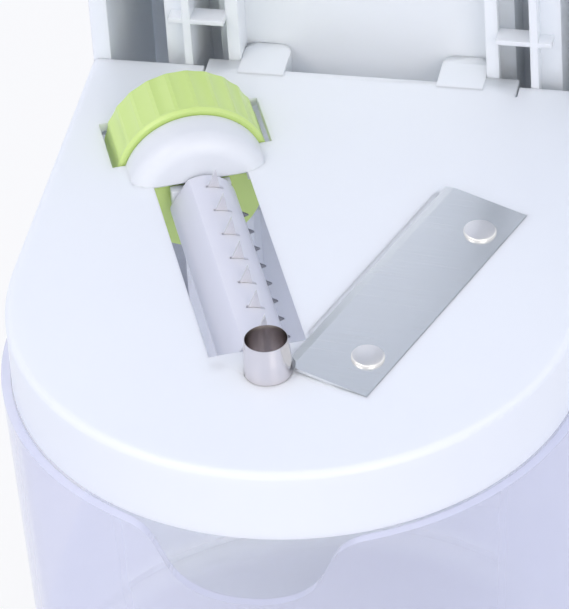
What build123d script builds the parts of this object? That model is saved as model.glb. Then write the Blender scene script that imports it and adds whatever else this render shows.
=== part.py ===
from build123d import *
import os
from math import atan2, cos, degrees, radians, sin, sqrt

os.makedirs("parts", exist_ok=True)

# A hand-cranked vegetable spiralizer. The cutting axis is upright. Food stands on the blade plate,
# a spiked holder turned by the crank presses it down, and the cut strands drop into the container.
# Millimetres, +Z up, front at -Y, origin on the table under the middle of the footprint.

# ---- blade plate
PLATE_TOP = 142.0         # height of the plate's top face above the table
PLATE_R = 65.0            # round front
PLATE_CENTRE = 29.6       # from the cutting axis back to the round front's centre
PLATE_BACK = 111.2        # from the cutting axis back to the plate's back edge
PLATE_T = 2.2
SKIRT_DEPTH = 18.1
SKIRT_EDGE_R = 1.8
EAR_BACK = 114.2          # plate edge beside the rails
TONGUE_BACK = 121.4
TONGUE_IN = 18.3          # half widths of the tongues that reach into the column
TONGUE_OUT = 29.4
EAR_OUT = 37.5
TONGUE_T = 7.0
TONGUE_RISE = 0.5
SLIT_W = 0.6
SLIT_LENGTH = 3.8

# ---- slot, cowl and window, measured along the slot from the cutting axis
SLOT_ANGLE = 113.1        # direction of the slot, from +X
SLOT_SHIFT = 0.7          # slot centreline to the left of the cutting axis
SLOT_START = 8.3
SLOT_END = 72.9
SLOT_HALF = 11.0
SLOT_UNDERCUT = 2.7       # back wall of the slot, leaning away from its top edge
COWL_END = 83.2
COWL_R = 16.9
COWL_NOSE_R = 4.5
COWL_WALL = 1.3
WINDOW_END = 100.9
WINDOW_HALF = 18.85

# ---- selector drum and wheel
DRUM_DROP = 6.0           # drum axis below the plate's top face
DRUM_R = 7.8
DRUM_FLAT = 6.5           # blank face, a flat, from the drum axis
DRUM_FLAT_TURN = 34.0     # its direction above the left, at rest
DRUM_END_GAP = 0.4        # drum end to the cowl, and drum front to the slot's end
JOURNAL_R = 3.0
JOURNAL_GAP = 0.2         # journal's end to the back of the front bracket
BRACKET_T = 2.0           # front bracket, from the slot's start towards the ring
NECK_R = 4.0
DRIVE_AF = 5.6            # square drive between drum and wheel
BEARING_T = 2.4
BEARING_HALF = 7.0
WHEEL_R = 18.2
WHEEL_GAP = 0.5
DISC_GAP = 1.0            # wheel's inner disc to the rear bearing
FLUTES = 24
FLUTE_R = 5.6
FLUTE_DEPTH = 0.45
RIM_BAND = 1.5
RUNNING_FIT = 0.05        # radial clearance of every shaft in its bore
SEAT_FIT = 0.05           # clearance round pieces that seat and do not move

# ---- cutting strips
STRIP_IN = 5.2            # strip's inner and outer face, from the drum axis
STRIP_OUT = 6.0
TOOTH_T = 0.6
TOOTH_TIP_R = 12.4
SWEEP_FIT = 0.15          # clearance of the turning tooth tips in the plate
SLIT_FIT = 0.1
SLIT_REACH = 0.9          # slit beyond the tooth's trailing side
COARSE = {"pitch": 9.26, "count": 7, "first": 12.1, "near": 0.6, "far": 3.4, "tip_r": TOOTH_TIP_R}
MEDIUM = {"pitch": 6.7, "count": 9, "first": 13.9, "near": 0.6, "far": 2.7, "tip_r": 9.8}
FINE = {"pitch": 3.35, "count": 18, "first": 12.4, "near": 0.8, "far": 2.5, "tip_r": 9.6}

# ---- corer ring
RING_R = 5.36
RING_MOUTH_R = 4.85
RING_BORE_R = 4.5
RING_HEIGHT = 9.04
RING_TAPER_FROM = 4.8
RING_FOOT = 7.6
RING_BOSS_R = 7.0
RING_WALL = 0.5           # boss left between the ring and the front bracket

# ---- ribbon blade: "across" runs from its cutting edge, "along" from the cutting axis
BLADE_ANGLE = -19.5       # direction across the blade, from +X
BLADE_LEFT = 2.7
BLADE_RIGHT = 23.7
BLADE_NEAR = 1.95
BLADE_FAR = 74.7
BLADE_GAP = 0.25          # round the blade in its seat
BLADE_T = 0.8
BLADE_RISE = 1.8          # cutting edge above the plate
BLADE_NOTCH_R = 6.05
BEVEL_W = 2.2
BEVEL_T = 0.6
THROAT_RIGHT = 13.4
THROAT_NEAR = 15.5
THROAT_FAR = 73.0
THROAT_LEFT = 1.0
RIVET_ACROSS = 17.5
RIVET_NEAR = 13.4
RIVET_FAR = 64.0
RIVET_HEAD_R = 3.75
RIVET_HEAD_T = 0.7
RIVET_GROOVE_R = 2.6      # fine ring groove in the head
RIVET_GROOVE = 0.2
RIVET_R = 2.0

# ---- column
COLUMN_HALF = 64.8
COLUMN_FRONT = 111.3
COLUMN_BACK = 155.0
COLUMN_RISE = 204.0       # top of the column above the plate
FLANGE_T = 4.3
COLUMN_WALL = 3.0
CHANNEL_HALF = 40.5
CHANNEL_BACK = 131.0
RIB_T = 6.9               # wall beside the channel
RIB_LIP_T = 1.9           # front lip of that wall
RIB_STEP = 3.6            # face beside the lip, behind its front
PANEL_FRONT = 121.5
PANEL_T = 2.5
PANEL_BLEND_R = 3.0
RAIL_FRONT = 114.3
RAIL_IN = 29.5
RAIL_HEAD = 3.0
RAIL_HEAD_DEPTH = 2.5
RAIL_WEB = 1.5
RAIL_STEP_OUT = 35.5      # step behind the carriage's jaws
RAIL_STEP_FRONT = 120.6
STOP_TOP = 13.0           # cross shelves that stop the carriage, above the plate
STOP_T = 1.3
STOP_DEPTH = 5.0
STOP_REACH = 45.7
LEDGE_T = 4.0
LEDGE_REACH = 6.0
BOSS_DEPTH = 5.5

# ---- base and feet
BASE_R = 75.0
BASE_BACK = 160.0         # from the cutting axis back to the base's back edge
FOOT_H = 5.0
BASE_T = 12.0
BASE_WALL = 3.0
BASE_CORNER_R = 18.0
TRAY_DEPTH = 2.0
TRAY_FIT = 1.8            # container to the tray's side walls
HEEL_HALF = 70.0
HEEL_FRONT = 105.0
HEEL_TOP = 47.0
HEEL_FLOOR = 6.0
HEEL_CORNER_R = 8.0
FOOT_R = 15.0
FOOT_STEM_R = 3.0
FOOT_STEM_H = 4.5
FRONT_FOOT_IN = 34.0      # feet, in from the base's sides
BACK_FOOT_IN = 25.0
FRONT_FOOT_Y = -4.0       # front feet, from the cutting axis
BACK_FOOT_GAP = 20.0      # back feet, in from the base's back edge

# ---- container
BOWL_R = 67.4
BOWL_WALL = 2.2
BOWL_FLOOR = 2.6
BOWL_DRAFT = 1.65
BOWL_CORNER_R = 9.0
BOWL_GAP = 0.5            # rim to the plate's skirt
BOWL_FLOOR_GAP = 0.2      # foot to the tray
WAVE_HALF = 27.0
WAVE_DEPTH = 17.0
WAVE_FULLNESS = 0.62      # where its flanks turn, as a share of its half width and depth
BACK_DROP = 7.5           # rim cut down at the back, so it passes under the wheel
BACK_DROP_FROM = 36.0     # from the container's centre

# ---- carriage
TRAVEL = 128.0
HOLDER_LOW = 2.5          # spike tips above the plate when the carriage is down
SLIDER_H = 60.0
SLIDER_FRONT = 104.0
SLIDE_FIT = 0.1
HUB_R = 17.0
HUB_BORE_R = 7.5
HUB_BOTTOM = 151.5
HUB_TOP = 183.0
ARM_WALL = 2.6
ARM_RISE_FROM = 89.0
GRIP_HALF = 61.0
GRIP_FRONT = 90.0
GRIP_BACK = 108.0
GRIP_BOTTOM = 165.0
GRIP_TOP = 177.0
BRAKE_T = 0.5             # brake spring's thickness and width
BRAKE_W = 10.0

# ---- crank, shaft and holder
SHAFT_R = 5.0
SQUARE_AF = 7.0
BUSH_FLANGE_R = 10.0
BUSH_FLANGE_T = 1.5
BUSH_LENGTH = 9.0
AXIAL_GAP = 0.3
CRANK_RADIUS = 72.0
CRANK_HUB_R = 11.5
CRANK_HUB_H = 14.0
CRANK_ARM_T = 8.0
CRANK_END_R = 9.0
KNOB_R = 13.0
KNOB_H = 40.0
KNOB_PIN_R = 3.0
HOLDER_R = 19.5
HOLDER_T = 4.0
HOLDER_HUB_R = 9.0
SPIKES = 8
SPIKE_R = 16.6
SPIKE_W = 4.0
SPIKE_T = 1.4
SPIKE_H = 9.0
SLEEVE_R = 7.3
SLEEVE_BORE_R = 5.9
SLEEVE_H = 8.0

# ---- screws
SCREW_R = 1.5
SCREW_HEAD_R = 3.0
SCREW_HEAD_H = 2.0
SCREW_LENGTH = 9.0

# ---- places worked out from the sizes above
AXIS_Y = -(BASE_BACK + PLATE_CENTRE - BASE_R) / 2       # cutting axis, from the origin
slot_x, slot_y = cos(radians(SLOT_ANGLE)), sin(radians(SLOT_ANGLE))
blade_x, blade_y = cos(radians(BLADE_ANGLE)), sin(radians(BLADE_ANGLE))
DRUM_START = SLOT_START + DRUM_END_GAP
DRUM_END = SLOT_END - DRUM_END_GAP
DISC_START = SLOT_END + BEARING_T + DISC_GAP
RIM_START = COWL_END + WHEEL_GAP
WHEEL_DISC_R = COWL_R - COWL_WALL - WHEEL_GAP
WHEEL_END = WINDOW_END - WHEEL_GAP
TRAY_TOP = FOOT_H + BASE_T - TRAY_DEPTH
BOWL_RIM = PLATE_TOP - SKIRT_DEPTH - BOWL_GAP
BOWL_FOOT = TRAY_TOP + BOWL_FLOOR_GAP
COLUMN_FOOT = FOOT_H + HEEL_FLOOR
SLIDER_BOTTOM = STOP_TOP + AXIAL_GAP + TRAVEL


def over_plate(height):
    """Level plane above the plate's top face, centred on the cutting axis."""
    return Plane(origin=(0, AXIS_Y, PLATE_TOP + height))


def over_table(height):
    """Level plane above the table, centred on the cutting axis."""
    return Plane(origin=(0, AXIS_Y, height))


def bowl_plane(height):
    """Level plane above the table, centred on the container and the plate's round front."""
    return Plane(origin=(0, AXIS_Y + PLATE_CENTRE, height))


def slot_plane(height=0.0):
    """Level plane with x along the slot and y to its left, on the slot's centreline."""
    start = (-SLOT_SHIFT * slot_y, AXIS_Y + SLOT_SHIFT * slot_x, PLATE_TOP + height)
    return Plane(origin=start, x_dir=(slot_x, slot_y, 0), z_dir=(0, 0, 1))


def turned(plane, rotation):
    """The plane, turned about its own axes."""
    return Plane(plane.location * Location((0, 0, 0), rotation))


def drum_plane(along, turn=0.0):
    """Plane across the drum axis: x to the left, y up, turned about the axis for the drum's faces."""
    centre = slot_plane(-DRUM_DROP).from_local_coords((along, 0, 0))
    square = Plane(origin=centre, x_dir=(-slot_y, slot_x, 0), z_dir=(slot_x, slot_y, 0))
    return turned(square, (0, 0, turn))


drum_side = Plane(origin=drum_plane(0).origin, x_dir=(slot_x, slot_y, 0), z_dir=(slot_y, -slot_x, 0))
drum_axis = Axis(drum_plane(0).origin, (slot_x, slot_y, 0))
blade_level = Plane(origin=(0, AXIS_Y, PLATE_TOP), x_dir=(blade_x, blade_y, 0), z_dir=(0, 0, 1))
BLADE_TILT = degrees(atan2(BLADE_RISE, BLADE_RIGHT - BLADE_LEFT))
blade_edge = Plane(
    origin=blade_level.from_local_coords((BLADE_RIGHT, 0, 0)),
    x_dir=blade_level.x_dir,
    z_dir=blade_level.z_dir,
)
blade_top = turned(blade_edge, (0, BLADE_TILT, 0))


def d_shape(radius, reach):
    """Round front of the given radius, with straight sides reaching back from its centre."""
    Circle(radius)
    Rectangle(2 * radius, reach, align=(Align.CENTER, Align.MIN))


def bar(x0, x1, y0, y1):
    """Rectangle between two corners."""
    with Locations(((x0 + x1) / 2, (y0 + y1) / 2)):
        Rectangle(abs(x1 - x0), abs(y1 - y0))


def mirrored_bar(x0, x1, y0, y1, mode=Mode.ADD):
    """The same rectangle on both sides of the middle."""
    for side in (-1, 1):
        with Locations((side * (x0 + x1) / 2, (y0 + y1) / 2)):
            Rectangle(abs(x1 - x0), abs(y1 - y0), mode=mode)


def screws(places, length, head_r=SCREW_HEAD_R, head_h=SCREW_HEAD_H, shank_r=SCREW_R):
    """Pan-head screws with cross slots. Each place is the plane under a head, facing out."""
    with BuildPart() as group:
        for place in places:
            with BuildSketch(place):
                Circle(head_r)
            extrude(amount=head_h, taper=12)
            with BuildSketch(place.offset(head_h)):
                Rectangle(head_r, head_r / 4)
                Rectangle(head_r / 4, head_r)
            extrude(amount=-head_h / 2, mode=Mode.SUBTRACT)
            with BuildSketch(place):
                Circle(shank_r)
            extrude(amount=-length)
    return group.part


def pilot(places, length, shank_r=SCREW_R):
    """Blind holes for screw shanks."""
    with Locations(*places):
        Hole(shank_r + SEAT_FIT, length + SEAT_FIT)


# ---- screw places, shared by the pieces that they join
PLATE_SCREW_X = (COLUMN_HALF - FLANGE_T + CHANNEL_HALF + RIB_T) / 2
PLATE_SCREW_DROP = 11.0
plate_screw_places = [
    Plane(
        origin=(side * PLATE_SCREW_X, AXIS_Y + PLATE_BACK - PLATE_T, PLATE_TOP - PLATE_SCREW_DROP),
        x_dir=(1, 0, 0),
        z_dir=(0, -1, 0),
    )
    for side in (-1, 1)
]
COLUMN_SCREW_Y = (COLUMN_FRONT + 7.0, COLUMN_BACK - 9.0)
COLUMN_SCREW_SINK = 3.0
column_screw_places = [
    Plane(
        origin=(side * PLATE_SCREW_X, AXIS_Y + back, FOOT_H + COLUMN_SCREW_SINK),
        x_dir=(1, 0, 0),
        z_dir=(0, 0, -1),
    )
    for side in (-1, 1)
    for back in COLUMN_SCREW_Y
]
CAP_SCREW_X = 37.0
CAP_SCREW_Y = 143.0
CAP_T = 6.0
CAP_SCREW_SINK = 2.4
cap_top = over_plate(COLUMN_RISE + CAP_T)
cap_screw_places = [
    Plane(origin=cap_top.from_local_coords((side * CAP_SCREW_X, CAP_SCREW_Y, -CAP_SCREW_SINK)))
    for side in (-1, 1)
]
BRACKET_SCREW_X = 9.6
BRACKET_SCREW_ALONG = 5.0
BRACKET_WING_T = 2.2
wing_plane = slot_plane(-PLATE_T - BRACKET_WING_T)
bracket_screw_places = [
    Plane(
        origin=wing_plane.from_local_coords((BRACKET_SCREW_ALONG, side * BRACKET_SCREW_X, 0)),
        x_dir=(1, 0, 0),
        z_dir=(0, 0, -1),
    )
    for side in (-1, 1)
]
BRACKET_SCREW_R = 1.1
BRACKET_SCREW_HEAD_R = 2.1
BRACKET_SCREW_HEAD_H = 1.4
BRACKET_SCREW_LENGTH = 3.6
DETENT_BOSS_R = 3.4
DETENT_ALONG = WINDOW_END + DETENT_BOSS_R + 1
DETENT_BOSS_DROP = 8.0
DETENT_T = 0.5
detent_screw_place = Plane(
    origin=slot_plane(-DETENT_BOSS_DROP - DETENT_T).from_local_coords((DETENT_ALONG, 0, 0)),
    x_dir=(1, 0, 0),
    z_dir=(0, 0, -1),
)

rivet_spots = [(RIVET_ACROSS - BLADE_RIGHT, along) for along in (RIVET_NEAR, RIVET_FAR)]

# ---- base foot: shallow shell with a tray for the container and a heel for the column
FOOT_PLACES = [(side * (BASE_R - FRONT_FOOT_IN), FRONT_FOOT_Y) for side in (-1, 1)]
FOOT_PLACES += [(side * (BASE_R - BACK_FOOT_IN), BASE_BACK - BACK_FOOT_GAP) for side in (-1, 1)]
with BuildPart() as base_foot:
    with BuildSketch(bowl_plane(FOOT_H)) as base_outline:
        d_shape(BASE_R, BASE_BACK - PLATE_CENTRE)
        fillet(base_outline.vertices().group_by(Axis.Y)[-1], BASE_CORNER_R)
    extrude(amount=BASE_T)
    fillet(base_foot.edges().group_by(Axis.Z)[-1], BASE_WALL)
    with BuildSketch(over_table(FOOT_H)) as heel_outline:
        bar(-HEEL_HALF, HEEL_HALF, HEEL_FRONT, BASE_BACK - BASE_WALL)
        fillet(heel_outline.vertices(), HEEL_CORNER_R)
    extrude(amount=HEEL_TOP - FOOT_H, taper=1)
    fillet(base_foot.faces().sort_by(Axis.Z)[-1].edges(), BASE_WALL)
    # hollow underside, left solid under the heel
    with BuildSketch(bowl_plane(FOOT_H)):
        d_shape(BASE_R - BASE_WALL, HEEL_FRONT - PLATE_CENTRE - BASE_WALL)
    extrude(amount=BASE_T - TRAY_DEPTH - BASE_WALL, mode=Mode.SUBTRACT)
    with BuildSketch(over_table(FOOT_H)):
        for x in (-1, 0, 1):
            bar(x * BASE_R / 3 - BASE_WALL / 4, x * BASE_R / 3 + BASE_WALL / 4, -BASE_WALL, HEEL_FRONT)
        bar(-BASE_R + BASE_WALL, BASE_R - BASE_WALL, PLATE_CENTRE, PLATE_CENTRE + BASE_WALL / 2)
    extrude(amount=BASE_T - TRAY_DEPTH - BASE_WALL / 2)
    with BuildSketch(over_table(FOOT_H)):
        with Locations(FOOT_PLACES[:2]):
            Circle(FOOT_STEM_R + BASE_WALL)
    extrude(amount=BASE_T - TRAY_DEPTH - BASE_WALL / 2)
    # stem sockets of the four feet
    with BuildSketch(over_table(FOOT_H)):
        with Locations(FOOT_PLACES):
            Circle(FOOT_STEM_R + SEAT_FIT)
    extrude(amount=FOOT_STEM_H + SEAT_FIT, mode=Mode.SUBTRACT)
    # tray that guides the container, open at the front
    with BuildSketch(bowl_plane(TRAY_TOP)):
        tray_r = BOWL_R - BOWL_CORNER_R / 3 + TRAY_FIT
        Circle(tray_r)
        Rectangle(2 * tray_r, 2 * BASE_R, align=(Align.CENTER, Align.MAX))
    extrude(amount=TRAY_DEPTH + FOOT_H, mode=Mode.SUBTRACT)
    # socket for the column
    with BuildSketch(over_table(COLUMN_FOOT)):
        socket_half = COLUMN_HALF + SEAT_FIT
        bar(-socket_half, socket_half, COLUMN_FRONT - SEAT_FIT, COLUMN_BACK + SEAT_FIT)
    extrude(amount=HEEL_TOP, mode=Mode.SUBTRACT)
    with Locations(*[place.offset(COLUMN_SCREW_SINK) for place in column_screw_places]):
        CounterBoreHole(SCREW_R + SEAT_FIT, SCREW_HEAD_R + SEAT_FIT, COLUMN_SCREW_SINK, 2 * HEEL_FLOOR)
base_foot.part.label = "base_foot"
export_step(base_foot.part, "parts/base_foot.step")

# ---- suction feet: rubber cups whose stems press into the base
for number, (foot_x, foot_y) in enumerate(FOOT_PLACES, 1):
    foot_plane = Plane(origin=(foot_x, AXIS_Y + foot_y, 0), x_dir=(1, 0, 0), z_dir=(0, -1, 0))
    with BuildPart() as suction_foot:
        with BuildSketch(foot_plane):
            with BuildLine():
                rim = Line((FOOT_R - 1.6, 0), (FOOT_R, 0))
                side = Line(rim @ 1, (FOOT_R, 1.2))
                cone = RadiusArc(side @ 1, (FOOT_STEM_R + 2, FOOT_H), 20)
                Polyline(
                    cone @ 1,
                    (FOOT_STEM_R, FOOT_H),
                    (FOOT_STEM_R, FOOT_H + FOOT_STEM_H),
                    (0, FOOT_H + FOOT_STEM_H),
                    (0, FOOT_H - 2.4),
                )
                RadiusArc((0, FOOT_H - 2.4), rim @ 0, 48)
            make_face()
        revolve(axis=Axis(foot_plane.origin, (0, 0, 1)))
    suction_foot.part.label = f"suction_foot_{number}"
    export_step(suction_foot.part, f"parts/suction_foot_{number}.step")

# ---- column: upright moulding with side flanges, guide rails and a recessed panel
with BuildPart() as column:
    with BuildSketch(over_table(COLUMN_FOOT)) as column_section:
        bar(-COLUMN_HALF, COLUMN_HALF, COLUMN_FRONT, COLUMN_BACK)
        fillet(column_section.vertices().group_by(Axis.Y)[-1], COLUMN_WALL)
        rib_out = CHANNEL_HALF + RIB_T
        flange_in = COLUMN_HALF - FLANGE_T
        mirrored_bar(rib_out, flange_in, COLUMN_FRONT, COLUMN_BACK - COLUMN_WALL, Mode.SUBTRACT)
        lip_out = CHANNEL_HALF + RIB_LIP_T
        mirrored_bar(lip_out, rib_out, COLUMN_FRONT, COLUMN_FRONT + RIB_STEP, Mode.SUBTRACT)
        with Locations((0, (COLUMN_FRONT + CHANNEL_BACK) / 2)):
            Rectangle(2 * CHANNEL_HALF, CHANNEL_BACK - COLUMN_FRONT, mode=Mode.SUBTRACT)
        core_y = (CHANNEL_BACK + COLUMN_BACK) / 2
        with Locations((0, core_y)):
            core_depth = COLUMN_BACK - CHANNEL_BACK - 2 * COLUMN_WALL
            Rectangle(2 * (rib_out - COLUMN_WALL), core_depth, mode=Mode.SUBTRACT)
        # rails: a web with a wider head, and the panel between them
        mirrored_bar(RAIL_IN, RAIL_IN + RAIL_WEB, RAIL_FRONT, CHANNEL_BACK)
        mirrored_bar(RAIL_IN, RAIL_IN + RAIL_HEAD, RAIL_FRONT, RAIL_FRONT + RAIL_HEAD_DEPTH)
        mirrored_bar(RAIL_IN, RAIL_STEP_OUT, RAIL_STEP_FRONT, CHANNEL_BACK)
        bar(-RAIL_IN, RAIL_IN, PANEL_FRONT, PANEL_FRONT + PANEL_T)
        corners = column_section.vertices().filter_by(
            lambda v: abs(abs(v.X) - RAIL_IN) < 0.01 and abs(v.Y - AXIS_Y - PANEL_FRONT) < 0.01
        )
        fillet(corners, PANEL_BLEND_R)
    extrude(amount=PLATE_TOP + COLUMN_RISE - COLUMN_FOOT)
    # floor that the screws from below hold
    with BuildSketch(over_table(COLUMN_FOOT)):
        bar(-COLUMN_HALF, COLUMN_HALF, COLUMN_FRONT, COLUMN_BACK - COLUMN_WALL)
    extrude(amount=HEEL_FLOOR)
    # cross shelves that stop the carriage, ledge under the plate and bosses for its screws
    with BuildSketch(over_plate(STOP_TOP - STOP_T)):
        mirrored_bar(RAIL_IN + RAIL_HEAD, STOP_REACH, COLUMN_FRONT, COLUMN_FRONT + STOP_DEPTH)
    extrude(amount=STOP_T)
    ledge_top = -SKIRT_DEPTH - SEAT_FIT
    with BuildSketch(over_plate(ledge_top - LEDGE_T)):
        mirrored_bar(CHANNEL_HALF, COLUMN_HALF, COLUMN_FRONT - LEDGE_REACH, COLUMN_FRONT + LEDGE_REACH)
    extrude(amount=LEDGE_T)
    with BuildSketch(over_plate(-PLATE_SCREW_DROP - BOSS_DEPTH)):
        mirrored_bar(rib_out, flange_in, COLUMN_FRONT, COLUMN_FRONT + SCREW_LENGTH - PLATE_T)
    extrude(amount=2 * BOSS_DEPTH)
    # bosses for the cap's screws
    with BuildSketch(over_plate(COLUMN_RISE - 2 * SCREW_LENGTH)):
        with Locations((-CAP_SCREW_X, CAP_SCREW_Y), (CAP_SCREW_X, CAP_SCREW_Y)):
            Circle(rib_out - COLUMN_WALL - CAP_SCREW_X + SEAT_FIT)
    extrude(amount=2 * SCREW_LENGTH)
    pilot(plate_screw_places + cap_screw_places + column_screw_places, SCREW_LENGTH)
column.part.label = "column"
export_step(column.part, "parts/column.step")

# ---- column cap: lid with plugs that sit in the column's pockets
with BuildPart() as column_cap:
    cap_lip = 1.6
    with BuildSketch(over_plate(COLUMN_RISE)) as cap_outline:
        bar(-COLUMN_HALF - cap_lip, COLUMN_HALF + cap_lip, COLUMN_FRONT - cap_lip, COLUMN_BACK + cap_lip)
        fillet(cap_outline.vertices(), COLUMN_WALL + cap_lip)
    extrude(amount=CAP_T)
    fillet(column_cap.edges().group_by(Axis.Z)[-1], CAP_T / 3)
    with BuildSketch(over_plate(COLUMN_RISE)):
        mirrored_bar(
            rib_out + SLIDE_FIT,
            flange_in - SLIDE_FIT,
            COLUMN_FRONT + COLUMN_WALL,
            COLUMN_BACK - COLUMN_WALL - SLIDE_FIT,
        )
    extrude(amount=-CAP_T / 2)
    with Locations(*[place.offset(CAP_SCREW_SINK) for place in cap_screw_places]):
        CounterBoreHole(SCREW_R + SEAT_FIT, SCREW_HEAD_R + SEAT_FIT, CAP_SCREW_SINK, 2 * CAP_T)
column_cap.part.label = "column_cap"
export_step(column_cap.part, "parts/column_cap.step")

# ---- cowl over the drum's back end, joined to the blade plate below
with BuildPart() as cowl:
    with BuildSketch(drum_side):
        with BuildLine():
            Polyline((SLOT_END, 0), (SLOT_END, COWL_R - COWL_NOSE_R))
            RadiusArc((SLOT_END, COWL_R - COWL_NOSE_R), (SLOT_END + COWL_NOSE_R, COWL_R), COWL_NOSE_R)
            Polyline((SLOT_END + COWL_NOSE_R, COWL_R), (COWL_END, COWL_R), (COWL_END, 0), (SLOT_END, 0))
        make_face()
    revolve(axis=drum_axis)
    # the wheel's disc turns inside
    with BuildSketch(drum_side):
        bore_r = COWL_R - COWL_WALL
        nose_r = COWL_NOSE_R - COWL_WALL
        wall_end = SLOT_END + BEARING_T
        wall_r = COWL_R - COWL_NOSE_R + sqrt(nose_r**2 - (COWL_NOSE_R - BEARING_T) ** 2)
        with BuildLine():
            Line((wall_end, 0), (wall_end, wall_r))
            RadiusArc((wall_end, wall_r), (SLOT_END + COWL_NOSE_R, bore_r), nose_r)
            Polyline((SLOT_END + COWL_NOSE_R, bore_r), (COWL_END, bore_r), (COWL_END, 0), (wall_end, 0))
        make_face()
    revolve(axis=drum_axis, mode=Mode.SUBTRACT)
    with BuildSketch(slot_plane(-PLATE_T)):
        bar(SLOT_END - 1, COWL_END + 1, -COWL_R - 1, COWL_R + 1)
    extrude(amount=-2 * COWL_R, mode=Mode.SUBTRACT)

# ---- blade plate
with BuildPart() as blade_plate:
    with BuildSketch(bowl_plane(PLATE_TOP - SKIRT_DEPTH)):
        d_shape(PLATE_R, PLATE_BACK - PLATE_CENTRE)
    extrude(amount=SKIRT_DEPTH)
    top_edges = blade_plate.edges().group_by(Axis.Z)[-1]
    fillet(top_edges.filter_by(Axis.X, reverse=True), SKIRT_EDGE_R)
    with BuildSketch(bowl_plane(PLATE_TOP - SKIRT_DEPTH)):
        d_shape(PLATE_R - PLATE_T, PLATE_BACK - PLATE_CENTRE - PLATE_T)
    extrude(amount=SKIRT_DEPTH - PLATE_T, mode=Mode.SUBTRACT)
    # tongues and ears that reach into the column
    with BuildSketch(over_plate(-TONGUE_T)):
        mirrored_bar(TONGUE_IN, EAR_OUT, PLATE_BACK - PLATE_T, EAR_BACK)
    extrude(amount=TONGUE_T)
    with BuildSketch(over_plate(-TONGUE_T)) as tongue_outline:
        mirrored_bar(TONGUE_IN, TONGUE_OUT, PLATE_BACK - PLATE_T, TONGUE_BACK)
        tongue_ends = tongue_outline.vertices().group_by(Axis.Y)[-1]
        fillet(tongue_ends, PANEL_BLEND_R)
    extrude(amount=TONGUE_T + TONGUE_RISE)
    with BuildSketch(over_plate(-PLATE_T)):
        with Locations((-EAR_OUT, PLATE_BACK - SLIT_LENGTH), (EAR_OUT, PLATE_BACK - SLIT_LENGTH)):
            Rectangle(SLIT_W, 2 * SLIT_LENGTH, align=(Align.CENTER, Align.MIN))
    extrude(amount=2 * PLATE_T, mode=Mode.SUBTRACT)
    # slot, room under the cowl, and the wheel's window
    with BuildSketch(slot_plane(-2 * PLATE_T)):
        bar(SLOT_START, SLOT_END, -SLOT_HALF, SLOT_HALF)
        bar(SLOT_END + BEARING_T, COWL_END, COWL_WALL - COWL_R, COWL_R - COWL_WALL)
        bar(COWL_END, WINDOW_END, -WINDOW_HALF, WINDOW_HALF)
    extrude(amount=4 * PLATE_T, mode=Mode.SUBTRACT)
    with BuildSketch(drum_plane(SLOT_START)):
        Circle(TOOTH_TIP_R + SWEEP_FIT)
    extrude(amount=SLOT_END - SLOT_START, mode=Mode.SUBTRACT)
    with BuildSketch(drum_side):
        with BuildLine():
            Polyline(
                (SLOT_END, DRUM_DROP),
                (SLOT_END, DRUM_DROP - PLATE_T),
                (SLOT_END + SLOT_UNDERCUT, DRUM_DROP - PLATE_T),
                close=True,
            )
        make_face()
    extrude(amount=SLOT_HALF, both=True, mode=Mode.SUBTRACT)
    add(cowl.part)
    # rear bearing of the drum
    with BuildSketch(drum_plane(SLOT_END)):
        Circle(BEARING_HALF)
        bar(-BEARING_HALF, BEARING_HALF, 0, DRUM_DROP)
    extrude(amount=BEARING_T)
    with BuildSketch(drum_plane(DRUM_START)):
        Circle(NECK_R + RUNNING_FIT)
    extrude(amount=COWL_END - DRUM_START, mode=Mode.SUBTRACT)
    # boss and bore of the corer ring, cut back for the front bracket
    with BuildSketch(slot_plane(-RING_FOOT)):
        with Locations((0, -SLOT_SHIFT)):
            Circle(RING_BOSS_R)
        with Locations((RING_R + RING_WALL, 0)):
            Rectangle(RING_BOSS_R, 4 * RING_BOSS_R, align=(Align.MIN, Align.CENTER), mode=Mode.SUBTRACT)
    extrude(amount=RING_FOOT - PLATE_T)
    with BuildSketch(over_plate(-RING_FOOT)):
        Circle(RING_R + SEAT_FIT / 2)
    extrude(amount=2 * RING_FOOT, mode=Mode.SUBTRACT)
    # boss of the detent spring
    with BuildSketch(slot_plane(-DETENT_BOSS_DROP)):
        with Locations((DETENT_ALONG, 0)):
            Circle(DETENT_BOSS_R)
    extrude(amount=DETENT_BOSS_DROP - PLATE_T / 2)
    # seat of the ribbon blade and the throat under its cutting edge
    with BuildSketch(blade_top.offset(-BLADE_T - SEAT_FIT / 2)):
        bar(BLADE_LEFT - BLADE_RIGHT, BLADE_GAP, BLADE_NEAR - BLADE_GAP, BLADE_FAR + BLADE_GAP)
    extrude(amount=2 * BLADE_T + BLADE_RISE, mode=Mode.SUBTRACT)
    with BuildSketch(blade_level.offset(-2 * PLATE_T)):
        bar(THROAT_LEFT, THROAT_RIGHT, THROAT_NEAR, THROAT_FAR)
    extrude(amount=4 * PLATE_T, mode=Mode.SUBTRACT)
    with BuildSketch(blade_top):
        with Locations(*rivet_spots):
            Circle(RIVET_R + SEAT_FIT)
    extrude(amount=4 * PLATE_T, both=True, mode=Mode.SUBTRACT)
    pilot(plate_screw_places, SCREW_LENGTH)
    pilot(bracket_screw_places, BRACKET_SCREW_LENGTH, BRACKET_SCREW_R)
    pilot([detent_screw_place], BRACKET_SCREW_LENGTH, BRACKET_SCREW_R)
blade_plate.part.label = "blade_plate"
export_step(blade_plate.part, "parts/blade_plate.step")

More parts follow.
